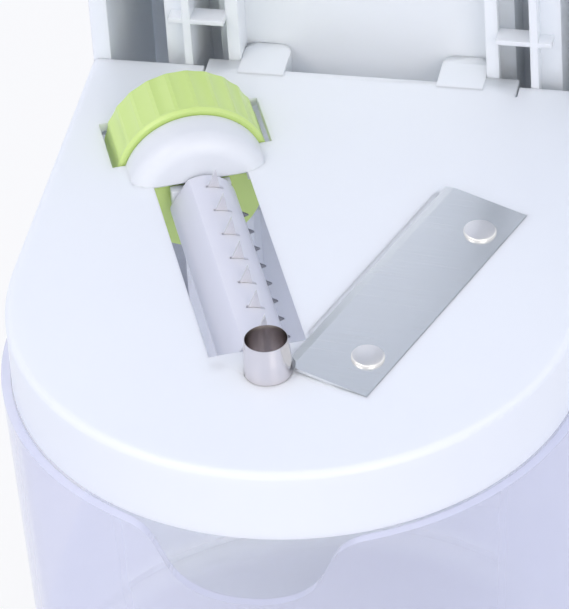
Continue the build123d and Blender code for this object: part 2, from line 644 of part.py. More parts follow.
# ---- corer ring: steel tube pressed into the plate, with a bevelled mouth
with BuildPart() as corer_ring:
    ring_side = Plane(origin=over_plate(0).origin, x_dir=(1, 0, 0), z_dir=(0, -1, 0))
    with BuildSketch(ring_side):
        with BuildLine():
            Polyline(
                (RING_BORE_R, -RING_FOOT),
                (RING_R, -RING_FOOT),
                (RING_R, RING_TAPER_FROM),
                (RING_MOUTH_R, RING_HEIGHT),
                (RING_MOUTH_R - 0.1, RING_HEIGHT),
                (RING_BORE_R, RING_HEIGHT - 0.8),
                (RING_BORE_R, -RING_FOOT),
            )
        make_face()
    revolve(axis=Axis(ring_side.origin, (0, 0, 1)))
corer_ring.part.label = "corer_ring"
export_step(corer_ring.part, "parts/corer_ring.step")

# ---- ribbon blade: tilted sheet, notched round the corer ring, bevelled on its cutting edge
with BuildPart() as ribbon_blade:
    with BuildSketch(blade_top):
        bar(BLADE_LEFT - BLADE_RIGHT, 0, BLADE_NEAR, BLADE_FAR)
        with Locations((-BLADE_RIGHT, 0)):
            Circle(BLADE_NOTCH_R, mode=Mode.SUBTRACT)
        with Locations(*rivet_spots):
            Circle(RIVET_R + SEAT_FIT, mode=Mode.SUBTRACT)
    extrude(amount=-BLADE_T)
    blade_side = Plane(
        origin=blade_top.from_local_coords((BLADE_LEFT - BLADE_RIGHT, 0, 0)),
        x_dir=blade_top.x_dir,
        z_dir=-blade_top.y_dir,
    )
    with BuildSketch(blade_side):
        with BuildLine():
            Polyline((0, 0), (BEVEL_W, 0), (0, -BEVEL_T), (0, 0))
        make_face()
    extrude(amount=-BLADE_FAR, mode=Mode.SUBTRACT)
ribbon_blade.part.label = "ribbon_blade"
export_step(ribbon_blade.part, "parts/ribbon_blade.step")

# ---- blade rivets: flat heads with a round shoulder above, formed heads under the plate
with BuildPart() as blade_rivets:
    rivet_lift = (BLADE_RIGHT - RIVET_ACROSS + 2 * RIVET_R) * BLADE_RISE / (BLADE_RIGHT - BLADE_LEFT)
    rivet_foot = -PLATE_T - rivet_lift
    shoulder = RIVET_HEAD_T * 0.6
    for spot in rivet_spots:
        rivet_side = Plane(
            origin=blade_top.from_local_coords((*spot, 0)), x_dir=blade_top.x_dir, z_dir=-blade_top.y_dir
        )
        with BuildSketch(rivet_side):
            with BuildLine():
                Line((0, RIVET_HEAD_T), (0, rivet_foot - RIVET_HEAD_T))
                Polyline(
                    (0, rivet_foot - RIVET_HEAD_T),
                    (RIVET_R * 1.2, rivet_foot - RIVET_HEAD_T),
                    (RIVET_R * 1.6, rivet_foot),
                    (RIVET_R, rivet_foot),
                    (RIVET_R, 0),
                    (RIVET_HEAD_R, 0),
                    (RIVET_HEAD_R, RIVET_HEAD_T - shoulder),
                )
                crown = (RIVET_HEAD_R - shoulder, RIVET_HEAD_T)
                RadiusArc((RIVET_HEAD_R, RIVET_HEAD_T - shoulder), crown, -shoulder)
                Polyline(
                    crown,
                    (RIVET_GROOVE_R + RIVET_GROOVE, RIVET_HEAD_T),
                    (RIVET_GROOVE_R, RIVET_HEAD_T - RIVET_GROOVE),
                    (RIVET_GROOVE_R - RIVET_GROOVE, RIVET_HEAD_T),
                    (0, RIVET_HEAD_T),
                )
            make_face()
        revolve(axis=Axis(rivet_side.origin, blade_top.z_dir))
blade_rivets.part.label = "blade_rivets"
export_step(blade_rivets.part, "parts/blade_rivets.step")


def comb(spec, turn):
    """Toothed steel strip for one face of the drum, its teeth across the drum axis."""
    with BuildPart() as strip:
        last = spec["first"] + spec["pitch"] * (spec["count"] - 1)
        with BuildSketch(drum_plane(spec["first"] - TOOTH_T, turn)):
            bar(-spec["far"], -spec["near"], STRIP_IN, STRIP_OUT)
        extrude(amount=last - spec["first"] + 2 * TOOTH_T)
        tip_x = spec["far"] - TOOTH_T
        tip_y = sqrt(spec["tip_r"] ** 2 - tip_x**2)
        for place in range(spec["count"]):
            along = spec["first"] + place * spec["pitch"]
            with BuildSketch(drum_plane(along - TOOTH_T / 2, turn)):
                with BuildLine():
                    Polyline(
                        (-spec["near"], STRIP_IN),
                        (-spec["near"], DRUM_R - TOOTH_T / 2),
                        (-tip_x, tip_y),
                        (-spec["far"], DRUM_R - TOOTH_T / 2),
                        (-spec["far"], STRIP_IN),
                        close=True,
                    )
                make_face()
            extrude(amount=TOOTH_T)
    return strip.part


# ---- the three strips: coarse on top at rest, medium to the right, fine underneath
FACE_TURN = 90.0
coarse_strip = comb(COARSE, 0)
coarse_strip.label = "coarse_strip"
export_step(coarse_strip, "parts/coarse_strip.step")
medium_strip = comb(MEDIUM, FACE_TURN)
medium_strip.label = "medium_strip"
export_step(medium_strip, "parts/medium_strip.step")
fine_strip = comb(FINE, 2 * FACE_TURN)
fine_strip.label = "fine_strip"
export_step(fine_strip, "parts/fine_strip.step")

# ---- selector drum: moulded round the strips, with a front journal, a neck and a square drive
DRUM_EDGE = 0.8
JOURNAL_START = SLOT_START - BRACKET_T + JOURNAL_GAP
DRIVE_END = WHEEL_END - 6.0
with BuildPart() as selector_drum:
    with BuildSketch(drum_plane(DRUM_START)):
        Circle(DRUM_R)
    extrude(amount=DRUM_END - DRUM_START)
    with BuildSketch(drum_plane(DRUM_START, DRUM_FLAT_TURN)):
        bar(DRUM_FLAT, DRUM_R + 1, -DRUM_R, DRUM_R)
    extrude(amount=DRUM_END - DRUM_START, mode=Mode.SUBTRACT)
    chamfer(selector_drum.edges().filter_by(GeomType.CIRCLE), DRUM_EDGE / 2)
    with BuildSketch(drum_plane(JOURNAL_START)):
        Circle(JOURNAL_R)
    extrude(amount=DRUM_START - JOURNAL_START)
    with BuildSketch(drum_plane(DRUM_END)):
        Circle(NECK_R)
    extrude(amount=DISC_START - DRUM_END)
    with BuildSketch(drum_plane(DISC_START)):
        Rectangle(DRIVE_AF, DRIVE_AF)
    extrude(amount=DRIVE_END - DISC_START)
    # slits that the coarse and medium teeth stand in
    for spec, turn in ((COARSE, 0), (MEDIUM, FACE_TURN)):
        for place in range(spec["count"]):
            along = spec["first"] + place * spec["pitch"]
            with BuildSketch(drum_plane(along - TOOTH_T / 2 - SLIT_FIT, turn)):
                slit_end = -spec["far"] - SLIT_REACH
                bar(slit_end, 4 * SLIT_FIT - spec["near"], STRIP_OUT + 3 * SLIT_FIT, DRUM_R + 1)
            extrude(amount=TOOTH_T + 2 * SLIT_FIT, mode=Mode.SUBTRACT)
    add([coarse_strip, medium_strip, fine_strip], mode=Mode.SUBTRACT)
    pilot([drum_plane(DRIVE_END)], SCREW_LENGTH)
selector_drum.part.label = "selector_drum"
export_step(selector_drum.part, "parts/selector_drum.step")

# ---- selector wheel: fluted rim behind the cowl, disc inside it
DETENT_R = 10.0
DETENT_NOSE_R = 1.1
DETENT_TRACK = 0.6        # depth of the track that the spring's nose runs in
WHEEL_SCREW_SINK = 4.0
with BuildPart() as selector_wheel:
    with BuildSketch(drum_side):
        with BuildLine():
            Polyline(
                (DISC_START, 0),
                (DISC_START, WHEEL_DISC_R),
                (RIM_START, WHEEL_DISC_R),
                (RIM_START, WHEEL_R - RIM_BAND / 3),
                (RIM_START + RIM_BAND / 2, WHEEL_R),
                (WHEEL_END - RIM_BAND / 2, WHEEL_R),
                (WHEEL_END, WHEEL_R - RIM_BAND / 2),
                (WHEEL_END, 0),
                (DISC_START, 0),
            )
        make_face()
    revolve(axis=drum_axis)
    with BuildSketch(drum_plane(RIM_START + RIM_BAND)):
        with PolarLocations(WHEEL_R + FLUTE_R - FLUTE_DEPTH, FLUTES):
            Circle(FLUTE_R)
    extrude(amount=WHEEL_END - RIM_START, mode=Mode.SUBTRACT)
    with BuildSketch(drum_plane(DISC_START)):
        Rectangle(DRIVE_AF + 2 * SEAT_FIT, DRIVE_AF + 2 * SEAT_FIT)
    extrude(amount=DRIVE_END - DISC_START + SEAT_FIT, mode=Mode.SUBTRACT)
    with Locations(drum_plane(WHEEL_END)):
        CounterBoreHole(SCREW_R + SEAT_FIT, SCREW_HEAD_R + 1, WHEEL_SCREW_SINK, WHEEL_END - DRIVE_END + 1)
    # ring track for the detent spring's nose, and four dips in its floor that the nose clicks into
    with BuildSketch(drum_plane(WHEEL_END)):
        Circle(DETENT_R + DETENT_NOSE_R)
        Circle(DETENT_R - DETENT_NOSE_R, mode=Mode.SUBTRACT)
    extrude(amount=-DETENT_TRACK, mode=Mode.SUBTRACT)
    with Locations(drum_plane(WHEEL_END - DETENT_TRACK + DETENT_NOSE_R / 2)):
        with PolarLocations(DETENT_R, 4):
            Sphere(DETENT_NOSE_R, mode=Mode.SUBTRACT)
selector_wheel.part.label = "selector_wheel"
export_step(selector_wheel.part, "parts/selector_wheel.step")

wheel_screw = screws([drum_plane(WHEEL_END - WHEEL_SCREW_SINK)], SCREW_LENGTH)
wheel_screw.label = "wheel_screw"
export_step(wheel_screw, "parts/wheel_screw.step")

# ---- detent spring: steel strip under the plate, its nose in the wheel's track, lifted over a dip
DETENT_W = 5.0
DETENT_GAP = 0.6          # spring's leg to the wheel's back face
DETENT_LEG = 19.0         # its lower end below the plate's top face
with BuildPart() as detent_spring:
    leg = WHEEL_END + DETENT_GAP
    tab_y = DRUM_DROP - DETENT_BOSS_DROP
    with BuildSketch(drum_side):
        bar(leg, DETENT_ALONG + DETENT_BOSS_R, tab_y - DETENT_T, tab_y)
        bar(leg, leg + DETENT_T, DRUM_DROP - DETENT_LEG, tab_y)
    extrude(amount=DETENT_W / 2, both=True)
    nose_plane = drum_plane(WHEEL_END + DETENT_NOSE_R - DETENT_TRACK + SEAT_FIT)
    with Locations(nose_plane.location * Location((0, -DETENT_R, 0))):
        Sphere(DETENT_NOSE_R)
    with BuildSketch(drum_plane(leg + DETENT_T)):
        with Locations((0, -DETENT_R)):
            Circle(2 * DETENT_NOSE_R)
    extrude(amount=2 * DETENT_NOSE_R, mode=Mode.SUBTRACT)
    with Locations(detent_screw_place):
        Hole(BRACKET_SCREW_R + SEAT_FIT)
detent_spring.part.label = "detent_spring"
export_step(detent_spring.part, "parts/detent_spring.step")

small_head = (BRACKET_SCREW_LENGTH, BRACKET_SCREW_HEAD_R, BRACKET_SCREW_HEAD_H, BRACKET_SCREW_R)
detent_screw = screws([detent_screw_place], *small_head)
detent_screw.label = "detent_screw"
export_step(detent_screw, "parts/detent_screw.step")

# ---- front bracket: carries the drum's journal under the plate
BRACKET_START = SLOT_START - BRACKET_T
wing_in = RING_BOSS_R + RING_WALL / 2
wing_out = BRACKET_SCREW_X + BRACKET_SCREW_HEAD_R + RING_WALL
with BuildPart() as front_bracket:
    with BuildSketch(drum_plane(BRACKET_START)):
        Circle(BEARING_HALF - 1)
        bar(1 - BEARING_HALF, BEARING_HALF - 1, 0, DRUM_DROP)
        with Locations((0, DRUM_DROP - PLATE_T)):
            Rectangle(2 * BEARING_HALF, BEARING_HALF, align=(Align.CENTER, Align.MIN), mode=Mode.SUBTRACT)
    extrude(amount=SLOT_START - BRACKET_START)
    with BuildSketch(slot_plane(-PLATE_T - BRACKET_WING_T)):
        for side in (-1, 1):
            bar(BRACKET_SCREW_ALONG - BRACKET_SCREW_HEAD_R, SLOT_START, side * wing_in, side * wing_out)
        bar(BRACKET_START, SLOT_START, -wing_in, wing_in)
    extrude(amount=BRACKET_WING_T)
    with BuildSketch(drum_plane(BRACKET_START)):
        Circle(JOURNAL_R + RUNNING_FIT)
    extrude(amount=SLOT_START, mode=Mode.SUBTRACT)
    with Locations(*bracket_screw_places):
        Hole(BRACKET_SCREW_R + SEAT_FIT)
front_bracket.part.label = "front_bracket"
export_step(front_bracket.part, "parts/front_bracket.step")

bracket_screws = screws(bracket_screw_places, *small_head)
bracket_screws.label = "bracket_screws"
export_step(bracket_screws, "parts/bracket_screws.step")

plate_screws = screws(plate_screw_places, SCREW_LENGTH)
plate_screws.label = "plate_screws"
export_step(plate_screws, "parts/plate_screws.step")

column_screws = screws(column_screw_places, SCREW_LENGTH)
column_screws.label = "column_screws"
export_step(column_screws, "parts/column_screws.step")

cap_screws = screws(cap_screw_places, SCREW_LENGTH)
cap_screws.label = "cap_screws"
export_step(cap_screws, "parts/cap_screws.step")

# ---- container: drafted clear beaker, rim waved down at the front and cut down at the back
BOWL_H = BOWL_RIM - BOWL_FOOT
BOWL_BASE_R = BOWL_R - BOWL_H * sin(radians(BOWL_DRAFT))
with BuildPart() as container:
    bowl_side = Plane(origin=bowl_plane(BOWL_FOOT).origin, x_dir=(1, 0, 0), z_dir=(0, -1, 0))
    bowl_axis = Axis(bowl_side.origin, (0, 0, 1))
    with BuildSketch(bowl_side) as outside:
        with BuildLine():
            Polyline((BOWL_R, BOWL_H), (BOWL_BASE_R, 0), (0, 0), (0, BOWL_H), close=True)
        make_face()
        fillet(outside.vertices().group_by(Axis.Y)[0].sort_by(Axis.X)[-1], BOWL_CORNER_R)
    revolve(axis=bowl_axis)
    with BuildSketch(bowl_side) as inside:
        with BuildLine():
            Polyline(
                (BOWL_R - BOWL_WALL, BOWL_H),
                (BOWL_BASE_R - BOWL_WALL, BOWL_FLOOR),
                (0, BOWL_FLOOR),
                (0, BOWL_H),
                close=True,
            )
        make_face()
        fillet(inside.vertices().group_by(Axis.Y)[0].sort_by(Axis.X)[-1], BOWL_CORNER_R - BOWL_WALL)
    revolve(axis=bowl_axis, mode=Mode.SUBTRACT)
    # wave at the front
    with BuildSketch(bowl_side):
        with BuildLine():
            crest = (-WAVE_HALF, BOWL_H)
            foot = (0, BOWL_H - WAVE_DEPTH)
            flank_x = WAVE_HALF * WAVE_FULLNESS
            flank_y = BOWL_H - WAVE_DEPTH * WAVE_FULLNESS
            level = [(1, 0), (1, 0)]
            left = Spline(crest, (-flank_x, flank_y), foot, tangents=level)
            right = Spline(foot, (flank_x, flank_y), (WAVE_HALF, BOWL_H), tangents=level)
            Polyline(right @ 1, (WAVE_HALF, BOWL_H + 1), (-WAVE_HALF, BOWL_H + 1), left @ 0)
        make_face()
    extrude(amount=BOWL_R + 1, mode=Mode.SUBTRACT)
    # cut down at the back
    back_side = Plane(origin=bowl_plane(BOWL_FOOT).origin, x_dir=(0, 1, 0), z_dir=(1, 0, 0))
    with BuildSketch(back_side):
        with BuildLine():
            ease = BACK_DROP * 1.6
            top = (BACK_DROP_FROM - ease, BOWL_H)
            low = (BACK_DROP_FROM + ease / 2, BOWL_H - BACK_DROP)
            slope = Spline(top, low, tangents=[(1, 0), (1, 0)])
            Polyline(
                slope @ 1,
                (BOWL_R + 1, BOWL_H - BACK_DROP),
                (BOWL_R + 1, BOWL_H + 1),
                (BACK_DROP_FROM - ease, BOWL_H + 1),
                slope @ 0,
            )
        make_face()
    extrude(amount=BOWL_R, both=True, mode=Mode.SUBTRACT)
container.part.label = "container"
export_step(container.part, "parts/container.step")

# ---- carriage: slider with jaws behind the rail heads, arm and hub
SLIDER_TOP = SLIDER_BOTTOM + SLIDER_H
jaw_out = CHANNEL_HALF - SLIDE_FIT * 3
head_back = RAIL_FRONT + RAIL_HEAD_DEPTH
side_plane = Plane(origin=(0, AXIS_Y, PLATE_TOP), x_dir=(0, 1, 0), z_dir=(1, 0, 0))
with BuildPart() as carriage:
    # arm: plan outline cut to its side outline
    with BuildSketch(over_plate(SLIDER_BOTTOM)):
        Circle(HUB_R)
        with BuildLine():
            reach = SLIDER_FRONT + 1
            tangent = (HUB_R * 0.985, HUB_R * 0.17)
            corner = (jaw_out - 2, reach)
            Polyline(tangent, corner, (-corner[0], reach), (-tangent[0], tangent[1]), close=True)
        make_face()
    extrude(amount=SLIDER_H)
    with BuildSketch(side_plane):
        with BuildLine():
            low = Line((-HUB_R, HUB_BOTTOM), (HUB_R * 2, HUB_BOTTOM))
            sweep_low = Spline(low @ 1, (SLIDER_FRONT + 1, SLIDER_BOTTOM), tangents=[(1, 0), (1, -0.3)])
            back = Line(sweep_low @ 1, (SLIDER_FRONT + 1, SLIDER_TOP - 4))
            rise = Line(back @ 1, (ARM_RISE_FROM, HUB_TOP))
            Polyline(rise @ 1, (-HUB_R, HUB_TOP), low @ 0)
        make_face()
    extrude(amount=2 * HUB_R + jaw_out, both=True, mode=Mode.INTERSECT)
    fillet(carriage.edges().group_by(Axis.Z)[-1], 0.8)
    # hollow the arm from below, leaving its top, its walls and the hub
    with BuildSketch(over_plate(SLIDER_BOTTOM - 1)):
        inner = HUB_R - ARM_WALL
        Circle(inner)
        with BuildLine():
            Polyline(
                (inner * 0.985, inner * 0.17),
                (jaw_out - 2 - ARM_WALL, SLIDER_FRONT - ARM_WALL),
                (2 + ARM_WALL - jaw_out, SLIDER_FRONT - ARM_WALL),
                (-inner * 0.985, inner * 0.17),
                close=True,
            )
        make_face()
        Circle(HUB_BORE_R + ARM_WALL, mode=Mode.SUBTRACT)
    extrude(amount=HUB_TOP - ARM_WALL - SLIDER_BOTTOM + 1, mode=Mode.SUBTRACT)
    with BuildSketch(over_plate(HUB_BOTTOM)):
        Rectangle(ARM_WALL, HUB_R + SLIDER_FRONT, align=(Align.CENTER, Align.MIN))
        Circle(HUB_BORE_R + ARM_WALL)
    extrude(amount=HUB_TOP - ARM_WALL / 2 - HUB_BOTTOM)
    # slider: front plate, middle block between the rails, jaws behind their heads
    with BuildSketch(over_plate(SLIDER_BOTTOM)) as slider_section:
        bar(-jaw_out, jaw_out, SLIDER_FRONT, RAIL_FRONT - SLIDE_FIT * 3)
        inside = RAIL_IN - SLIDE_FIT
        bar(-inside, inside, SLIDER_FRONT, PANEL_FRONT - SLIDE_FIT * 3)
        outside = RAIL_IN + RAIL_HEAD + SLIDE_FIT
        mirrored_bar(outside, jaw_out, SLIDER_FRONT, head_back + SLIDE_FIT + ARM_WALL)
        hook = RAIL_IN + RAIL_WEB + SLIDE_FIT * 2
        mirrored_bar(hook, jaw_out, head_back + SLIDE_FIT, head_back + SLIDE_FIT + ARM_WALL)
        corner_y = PANEL_FRONT - PANEL_BLEND_R - SLIDE_FIT * 3
        mirrored_bar(inside - PANEL_BLEND_R, inside, corner_y, PANEL_FRONT, Mode.SUBTRACT)
    extrude(amount=SLIDER_H)
    # grips at both sides, to push the carriage down
    with BuildSketch(over_plate(GRIP_BOTTOM)) as grip_outline:
        bar(-GRIP_HALF, GRIP_HALF, GRIP_FRONT, GRIP_BACK)
        fillet(grip_outline.vertices(), (GRIP_BACK - GRIP_FRONT) / 3)
        bar(5 * ARM_WALL - jaw_out, jaw_out - 5 * ARM_WALL, GRIP_FRONT, SLIDER_FRONT)
    extrude(amount=GRIP_TOP - GRIP_BOTTOM)
    # bore for the bushings, and the brake spring's pocket in the slider's back
    with BuildSketch(over_plate(HUB_BOTTOM)):
        Circle(HUB_BORE_R)
    extrude(amount=SLIDER_H, mode=Mode.SUBTRACT)
    brake_h = SLIDER_H / 2
    brake_low = SLIDER_BOTTOM + SLIDER_H / 4
    brake_deep = 2.4
    brake_half = BRAKE_W / 2 + 1
    with BuildSketch(over_plate(brake_low)):
        bar(-brake_half, brake_half, PANEL_FRONT - SLIDE_FIT * 3 - brake_deep, PANEL_FRONT)
    extrude(amount=brake_h, mode=Mode.SUBTRACT)
carriage.part.label = "carriage"
export_step(carriage.part, "parts/carriage.step")

# ---- brake spring: bowed steel strip in the slider's back, so the carriage stays where it is put
with BuildPart() as brake_spring:
    pocket_floor = PANEL_FRONT - SLIDE_FIT * 3 - brake_deep + SEAT_FIT
    crown = PANEL_FRONT - SEAT_FIT
    ends = SEAT_FIT + BRAKE_T
    with BuildSketch(side_plane):
        with BuildLine():
            low_end = (pocket_floor, brake_low + ends)
            high_end = (pocket_floor, brake_low + brake_h - ends)
            middle = (crown - BRAKE_T, brake_low + brake_h / 2)
            inner_arc = ThreePointArc(low_end, middle, high_end)
            outer_arc = ThreePointArc(
                (pocket_floor, brake_low + SEAT_FIT),
                (crown, brake_low + brake_h / 2),
                (pocket_floor, brake_low + brake_h - SEAT_FIT),
            )
            Line(inner_arc @ 0, outer_arc @ 0)
            Line(inner_arc @ 1, outer_arc @ 1)
        make_face()
    extrude(amount=BRAKE_W / 2, both=True)
brake_spring.part.label = "brake_spring"
export_step(brake_spring.part, "parts/brake_spring.step")

# ---- bushings: flanged sleeves at both ends of the hub
hub_ends = {
    "upper_bushing": over_plate(HUB_TOP),
    "lower_bushing": Plane(origin=over_plate(HUB_BOTTOM).origin, x_dir=(1, 0, 0), z_dir=(0, 0, -1)),
}
for name, place in hub_ends.items():
    with BuildPart() as bushing:
        with BuildSketch(place):
            Circle(BUSH_FLANGE_R)
        extrude(amount=BUSH_FLANGE_T)
        chamfer(bushing.edges().filter_by(GeomType.CIRCLE), BUSH_FLANGE_T / 5)
        with BuildSketch(place.offset(-BUSH_LENGTH)):
            Circle(HUB_BORE_R - SEAT_FIT / 2)
        extrude(amount=BUSH_LENGTH)
        with BuildSketch(place.offset(-BUSH_LENGTH)):
            Circle(SHAFT_R + RUNNING_FIT)
        extrude(amount=2 * BUSH_LENGTH, mode=Mode.SUBTRACT)
    bushing.part.label = name
    export_step(bushing.part, f"parts/{name}.step")

# ---- drive shaft: steel, with a square and a tapped hole at each end
HOLDER_FACE = TRAVEL + HOLDER_LOW + SPIKE_H           # underside of the holder's disc
SLEEVE_RECESS = 2.6
holder_top = HUB_BOTTOM - BUSH_FLANGE_T - AXIAL_GAP
crank_bottom = HUB_TOP + BUSH_FLANGE_T + AXIAL_GAP
crank_top = crank_bottom + CRANK_HUB_H
CRANK_SINK = 3.0
square_low = HOLDER_FACE + SLEEVE_RECESS
square_high = crank_top - CRANK_SINK
shaft_screw_places = [
    Plane(origin=over_plate(square_low).origin, x_dir=(1, 0, 0), z_dir=(0, 0, -1)),
    over_plate(square_high),
]
with BuildPart() as drive_shaft:
    with BuildSketch(over_plate(holder_top)):
        Circle(SHAFT_R)
    extrude(amount=crank_bottom - holder_top)
    with BuildSketch(over_plate(square_low)):
        Rectangle(SQUARE_AF, SQUARE_AF)
    extrude(amount=square_high - square_low)
    pilot(shaft_screw_places, SCREW_LENGTH)
drive_shaft.part.label = "drive_shaft"
export_step(drive_shaft.part, "parts/drive_shaft.step")

# ---- food holder: disc with a ring of pointed blades round a core sleeve
with BuildPart() as food_holder:
    with BuildSketch(over_plate(HOLDER_FACE)):
        Circle(HOLDER_R)
    extrude(amount=HOLDER_T)
    fillet(food_holder.edges().filter_by(GeomType.CIRCLE), HOLDER_T / 5)
    with BuildSketch(over_plate(HOLDER_FACE)):
        Circle(HOLDER_HUB_R)
    extrude(amount=holder_top - HOLDER_FACE)
    # ribs from the hub to the disc's rim
    with BuildSketch(over_plate(HOLDER_FACE + HOLDER_T / 2)):
        with PolarLocations(0, SPIKES):
            Rectangle(HOLDER_R - SPIKE_T, SPIKE_T, align=(Align.MIN, Align.CENTER))
    extrude(amount=HOLDER_T)
    # sleeve that takes the core, its lower edge sharpened
    with BuildSketch(over_plate(HOLDER_FACE - SLEEVE_H)):
        Circle(SLEEVE_R)
    extrude(amount=SLEEVE_H)
    chamfer(food_holder.edges().group_by(Axis.Z)[0], SPIKE_T / 2, SPIKE_T)
    with BuildSketch(over_plate(HOLDER_FACE - SLEEVE_H)):
        Circle(SLEEVE_BORE_R)
    extrude(amount=SLEEVE_H + SLEEVE_RECESS, mode=Mode.SUBTRACT)
    # pointed blades, thinning to an edge
    for turn in range(SPIKES):
        spike_plane = turned(over_plate(HOLDER_FACE), (0, 0, turn * 360 / SPIKES))
        spike_side = Plane(
            origin=spike_plane.from_local_coords((SPIKE_R, SPIKE_T / 2, 0)),
            x_dir=spike_plane.x_dir,
            z_dir=-spike_plane.y_dir,
        )
        with BuildSketch(spike_side):
            with BuildLine():
                Polyline(
                    (-SPIKE_W / 2, SPIKE_T),
                    (SPIKE_W / 2, SPIKE_T),
                    (SPIKE_W / 2, -SPIKE_H / 2),
                    (0, -SPIKE_H),
                    (-SPIKE_W / 2, -SPIKE_H / 2),
                    close=True,
                )
            make_face()
        extrude(amount=SPIKE_T)
    with BuildSketch(over_plate(HOLDER_FACE)):
        Rectangle(SQUARE_AF + 2 * SEAT_FIT, SQUARE_AF + 2 * SEAT_FIT)
    extrude(amount=holder_top, mode=Mode.SUBTRACT)
food_holder.part.label = "food_holder"
export_step(food_holder.part, "parts/food_holder.step")

holder_screw = screws(shaft_screw_places[:1], SCREW_LENGTH, SLEEVE_BORE_R - SPIKE_T, SCREW_HEAD_H)
holder_screw.label = "holder_screw"
export_step(holder_screw, "parts/holder_screw.step")

# ---- crank arm: hub on the shaft's square, tapered arm, round end with the knob's pin
arm_low = crank_top - CRANK_ARM_T
with BuildPart() as crank_arm:
    with BuildSketch(over_plate(arm_low)) as arm_plan:
        Circle(CRANK_HUB_R)
        with Locations((0, CRANK_RADIUS)):
            Circle(CRANK_END_R)
        make_hull()
    extrude(amount=CRANK_ARM_T)
    fillet(crank_arm.edges().group_by(Axis.Z)[-1], CRANK_ARM_T / 4)
    fillet(crank_arm.edges().group_by(Axis.Z)[0], CRANK_ARM_T / 6)
    with BuildSketch(over_plate(crank_bottom)):
        Circle(CRANK_HUB_R)
    extrude(amount=CRANK_HUB_H - CRANK_ARM_T / 4)
    # channel along the arm's underside
    with BuildSketch(over_plate(arm_low)) as arm_channel:
        with Locations((0, CRANK_HUB_R + ARM_WALL)):
            Circle(CRANK_END_R - ARM_WALL)
        with Locations((0, CRANK_RADIUS - CRANK_END_R)):
            Circle(CRANK_END_R / 2)
        make_hull()
        with Locations((0, 0)):
            Circle(CRANK_HUB_R, mode=Mode.SUBTRACT)
        with Locations((0, CRANK_RADIUS)):
            Circle(CRANK_END_R - ARM_WALL / 2, mode=Mode.SUBTRACT)
    extrude(amount=CRANK_ARM_T / 2, mode=Mode.SUBTRACT)
    with BuildSketch(over_plate(crank_bottom)):
        Rectangle(SQUARE_AF + 2 * SEAT_FIT, SQUARE_AF + 2 * SEAT_FIT)
    extrude(amount=square_high - crank_bottom, mode=Mode.SUBTRACT)
    with BuildSketch(over_plate(square_high)):
        Circle(CRANK_HUB_R / 2)
    extrude(amount=CRANK_SINK, mode=Mode.SUBTRACT)
    with BuildSketch(over_plate(arm_low)):
        with Locations((0, CRANK_RADIUS)):
            Circle(KNOB_PIN_R + SEAT_FIT)
    extrude(amount=CRANK_ARM_T, mode=Mode.SUBTRACT)
crank_arm.part.label = "crank_arm"
export_step(crank_arm.part, "parts/crank_arm.step")

crank_screw = screws(shaft_screw_places[1:], SCREW_LENGTH, CRANK_HUB_R / 2 - SPIKE_T / 2, SCREW_HEAD_H)
crank_screw.label = "crank_screw"
export_step(crank_screw, "parts/crank_screw.step")

# ---- knob pin, knob and its cap
PIN_HEAD_R = 5.5
PIN_HEAD_T = 2.0
CAP_DEPTH = 3.0
CAP_SEAT_R = 8.0
pin_plane = Plane(origin=over_plate(0).from_local_coords((0, CRANK_RADIUS, 0)))
pin_side = Plane(origin=pin_plane.origin, x_dir=(1, 0, 0), z_dir=(0, -1, 0))
pin_axis = Axis(pin_plane.origin, (0, 0, 1))
knob_low = crank_top + AXIAL_GAP
knob_top = knob_low + KNOB_H
head_low = knob_top - CAP_DEPTH - PIN_HEAD_T - 2 * AXIAL_GAP
with BuildPart() as knob_pin:
    with BuildSketch(pin_plane.offset(arm_low - PIN_HEAD_T / 2)):
        Circle(KNOB_PIN_R + 1)
    extrude(amount=PIN_HEAD_T / 2)
    with BuildSketch(pin_plane.offset(arm_low)):
        Circle(KNOB_PIN_R)
    extrude(amount=head_low - arm_low)
    with BuildSketch(pin_plane.offset(head_low)):
        Circle(PIN_HEAD_R)
    extrude(amount=PIN_HEAD_T, taper=12)
knob_pin.part.label = "knob_pin"
export_step(knob_pin.part, "parts/knob_pin.step")

with BuildPart() as crank_knob:
    with BuildSketch(pin_side):
        with BuildLine():
            foot = Line((0, knob_low), (KNOB_R * 0.74, knob_low))
            flank = Spline(
                foot @ 1, (KNOB_R * 0.66, knob_low + KNOB_H * 0.25), (KNOB_R, knob_low + KNOB_H * 0.74),
                (KNOB_R * 0.72, knob_top), tangents=[(0.2, 1), (-1, 0.5)],
            )
            Polyline(flank @ 1, (0, knob_top), foot @ 0)
        make_face()
    revolve(axis=pin_axis)
    with BuildSketch(pin_plane.offset(knob_top - CAP_DEPTH)):
        Circle(CAP_SEAT_R)
    extrude(amount=CAP_DEPTH, mode=Mode.SUBTRACT)
    with BuildSketch(pin_plane.offset(head_low - AXIAL_GAP)):
        Circle(PIN_HEAD_R + AXIAL_GAP)
    extrude(amount=KNOB_H, mode=Mode.SUBTRACT)
    with BuildSketch(pin_plane.offset(knob_low)):
        Circle(KNOB_PIN_R + RUNNING_FIT)
    extrude(amount=KNOB_H, mode=Mode.SUBTRACT)
crank_knob.part.label = "crank_knob"
export_step(crank_knob.part, "parts/crank_knob.step")

with BuildPart() as knob_cap:
    with BuildSketch(pin_plane.offset(knob_top - CAP_DEPTH)):
        Circle(CAP_SEAT_R - SEAT_FIT)
    extrude(amount=CAP_DEPTH)
    fillet(knob_cap.edges().group_by(Axis.Z)[-1], CAP_DEPTH / 4)
knob_cap.part.label = "knob_cap"
export_step(knob_cap.part, "parts/knob_cap.step")

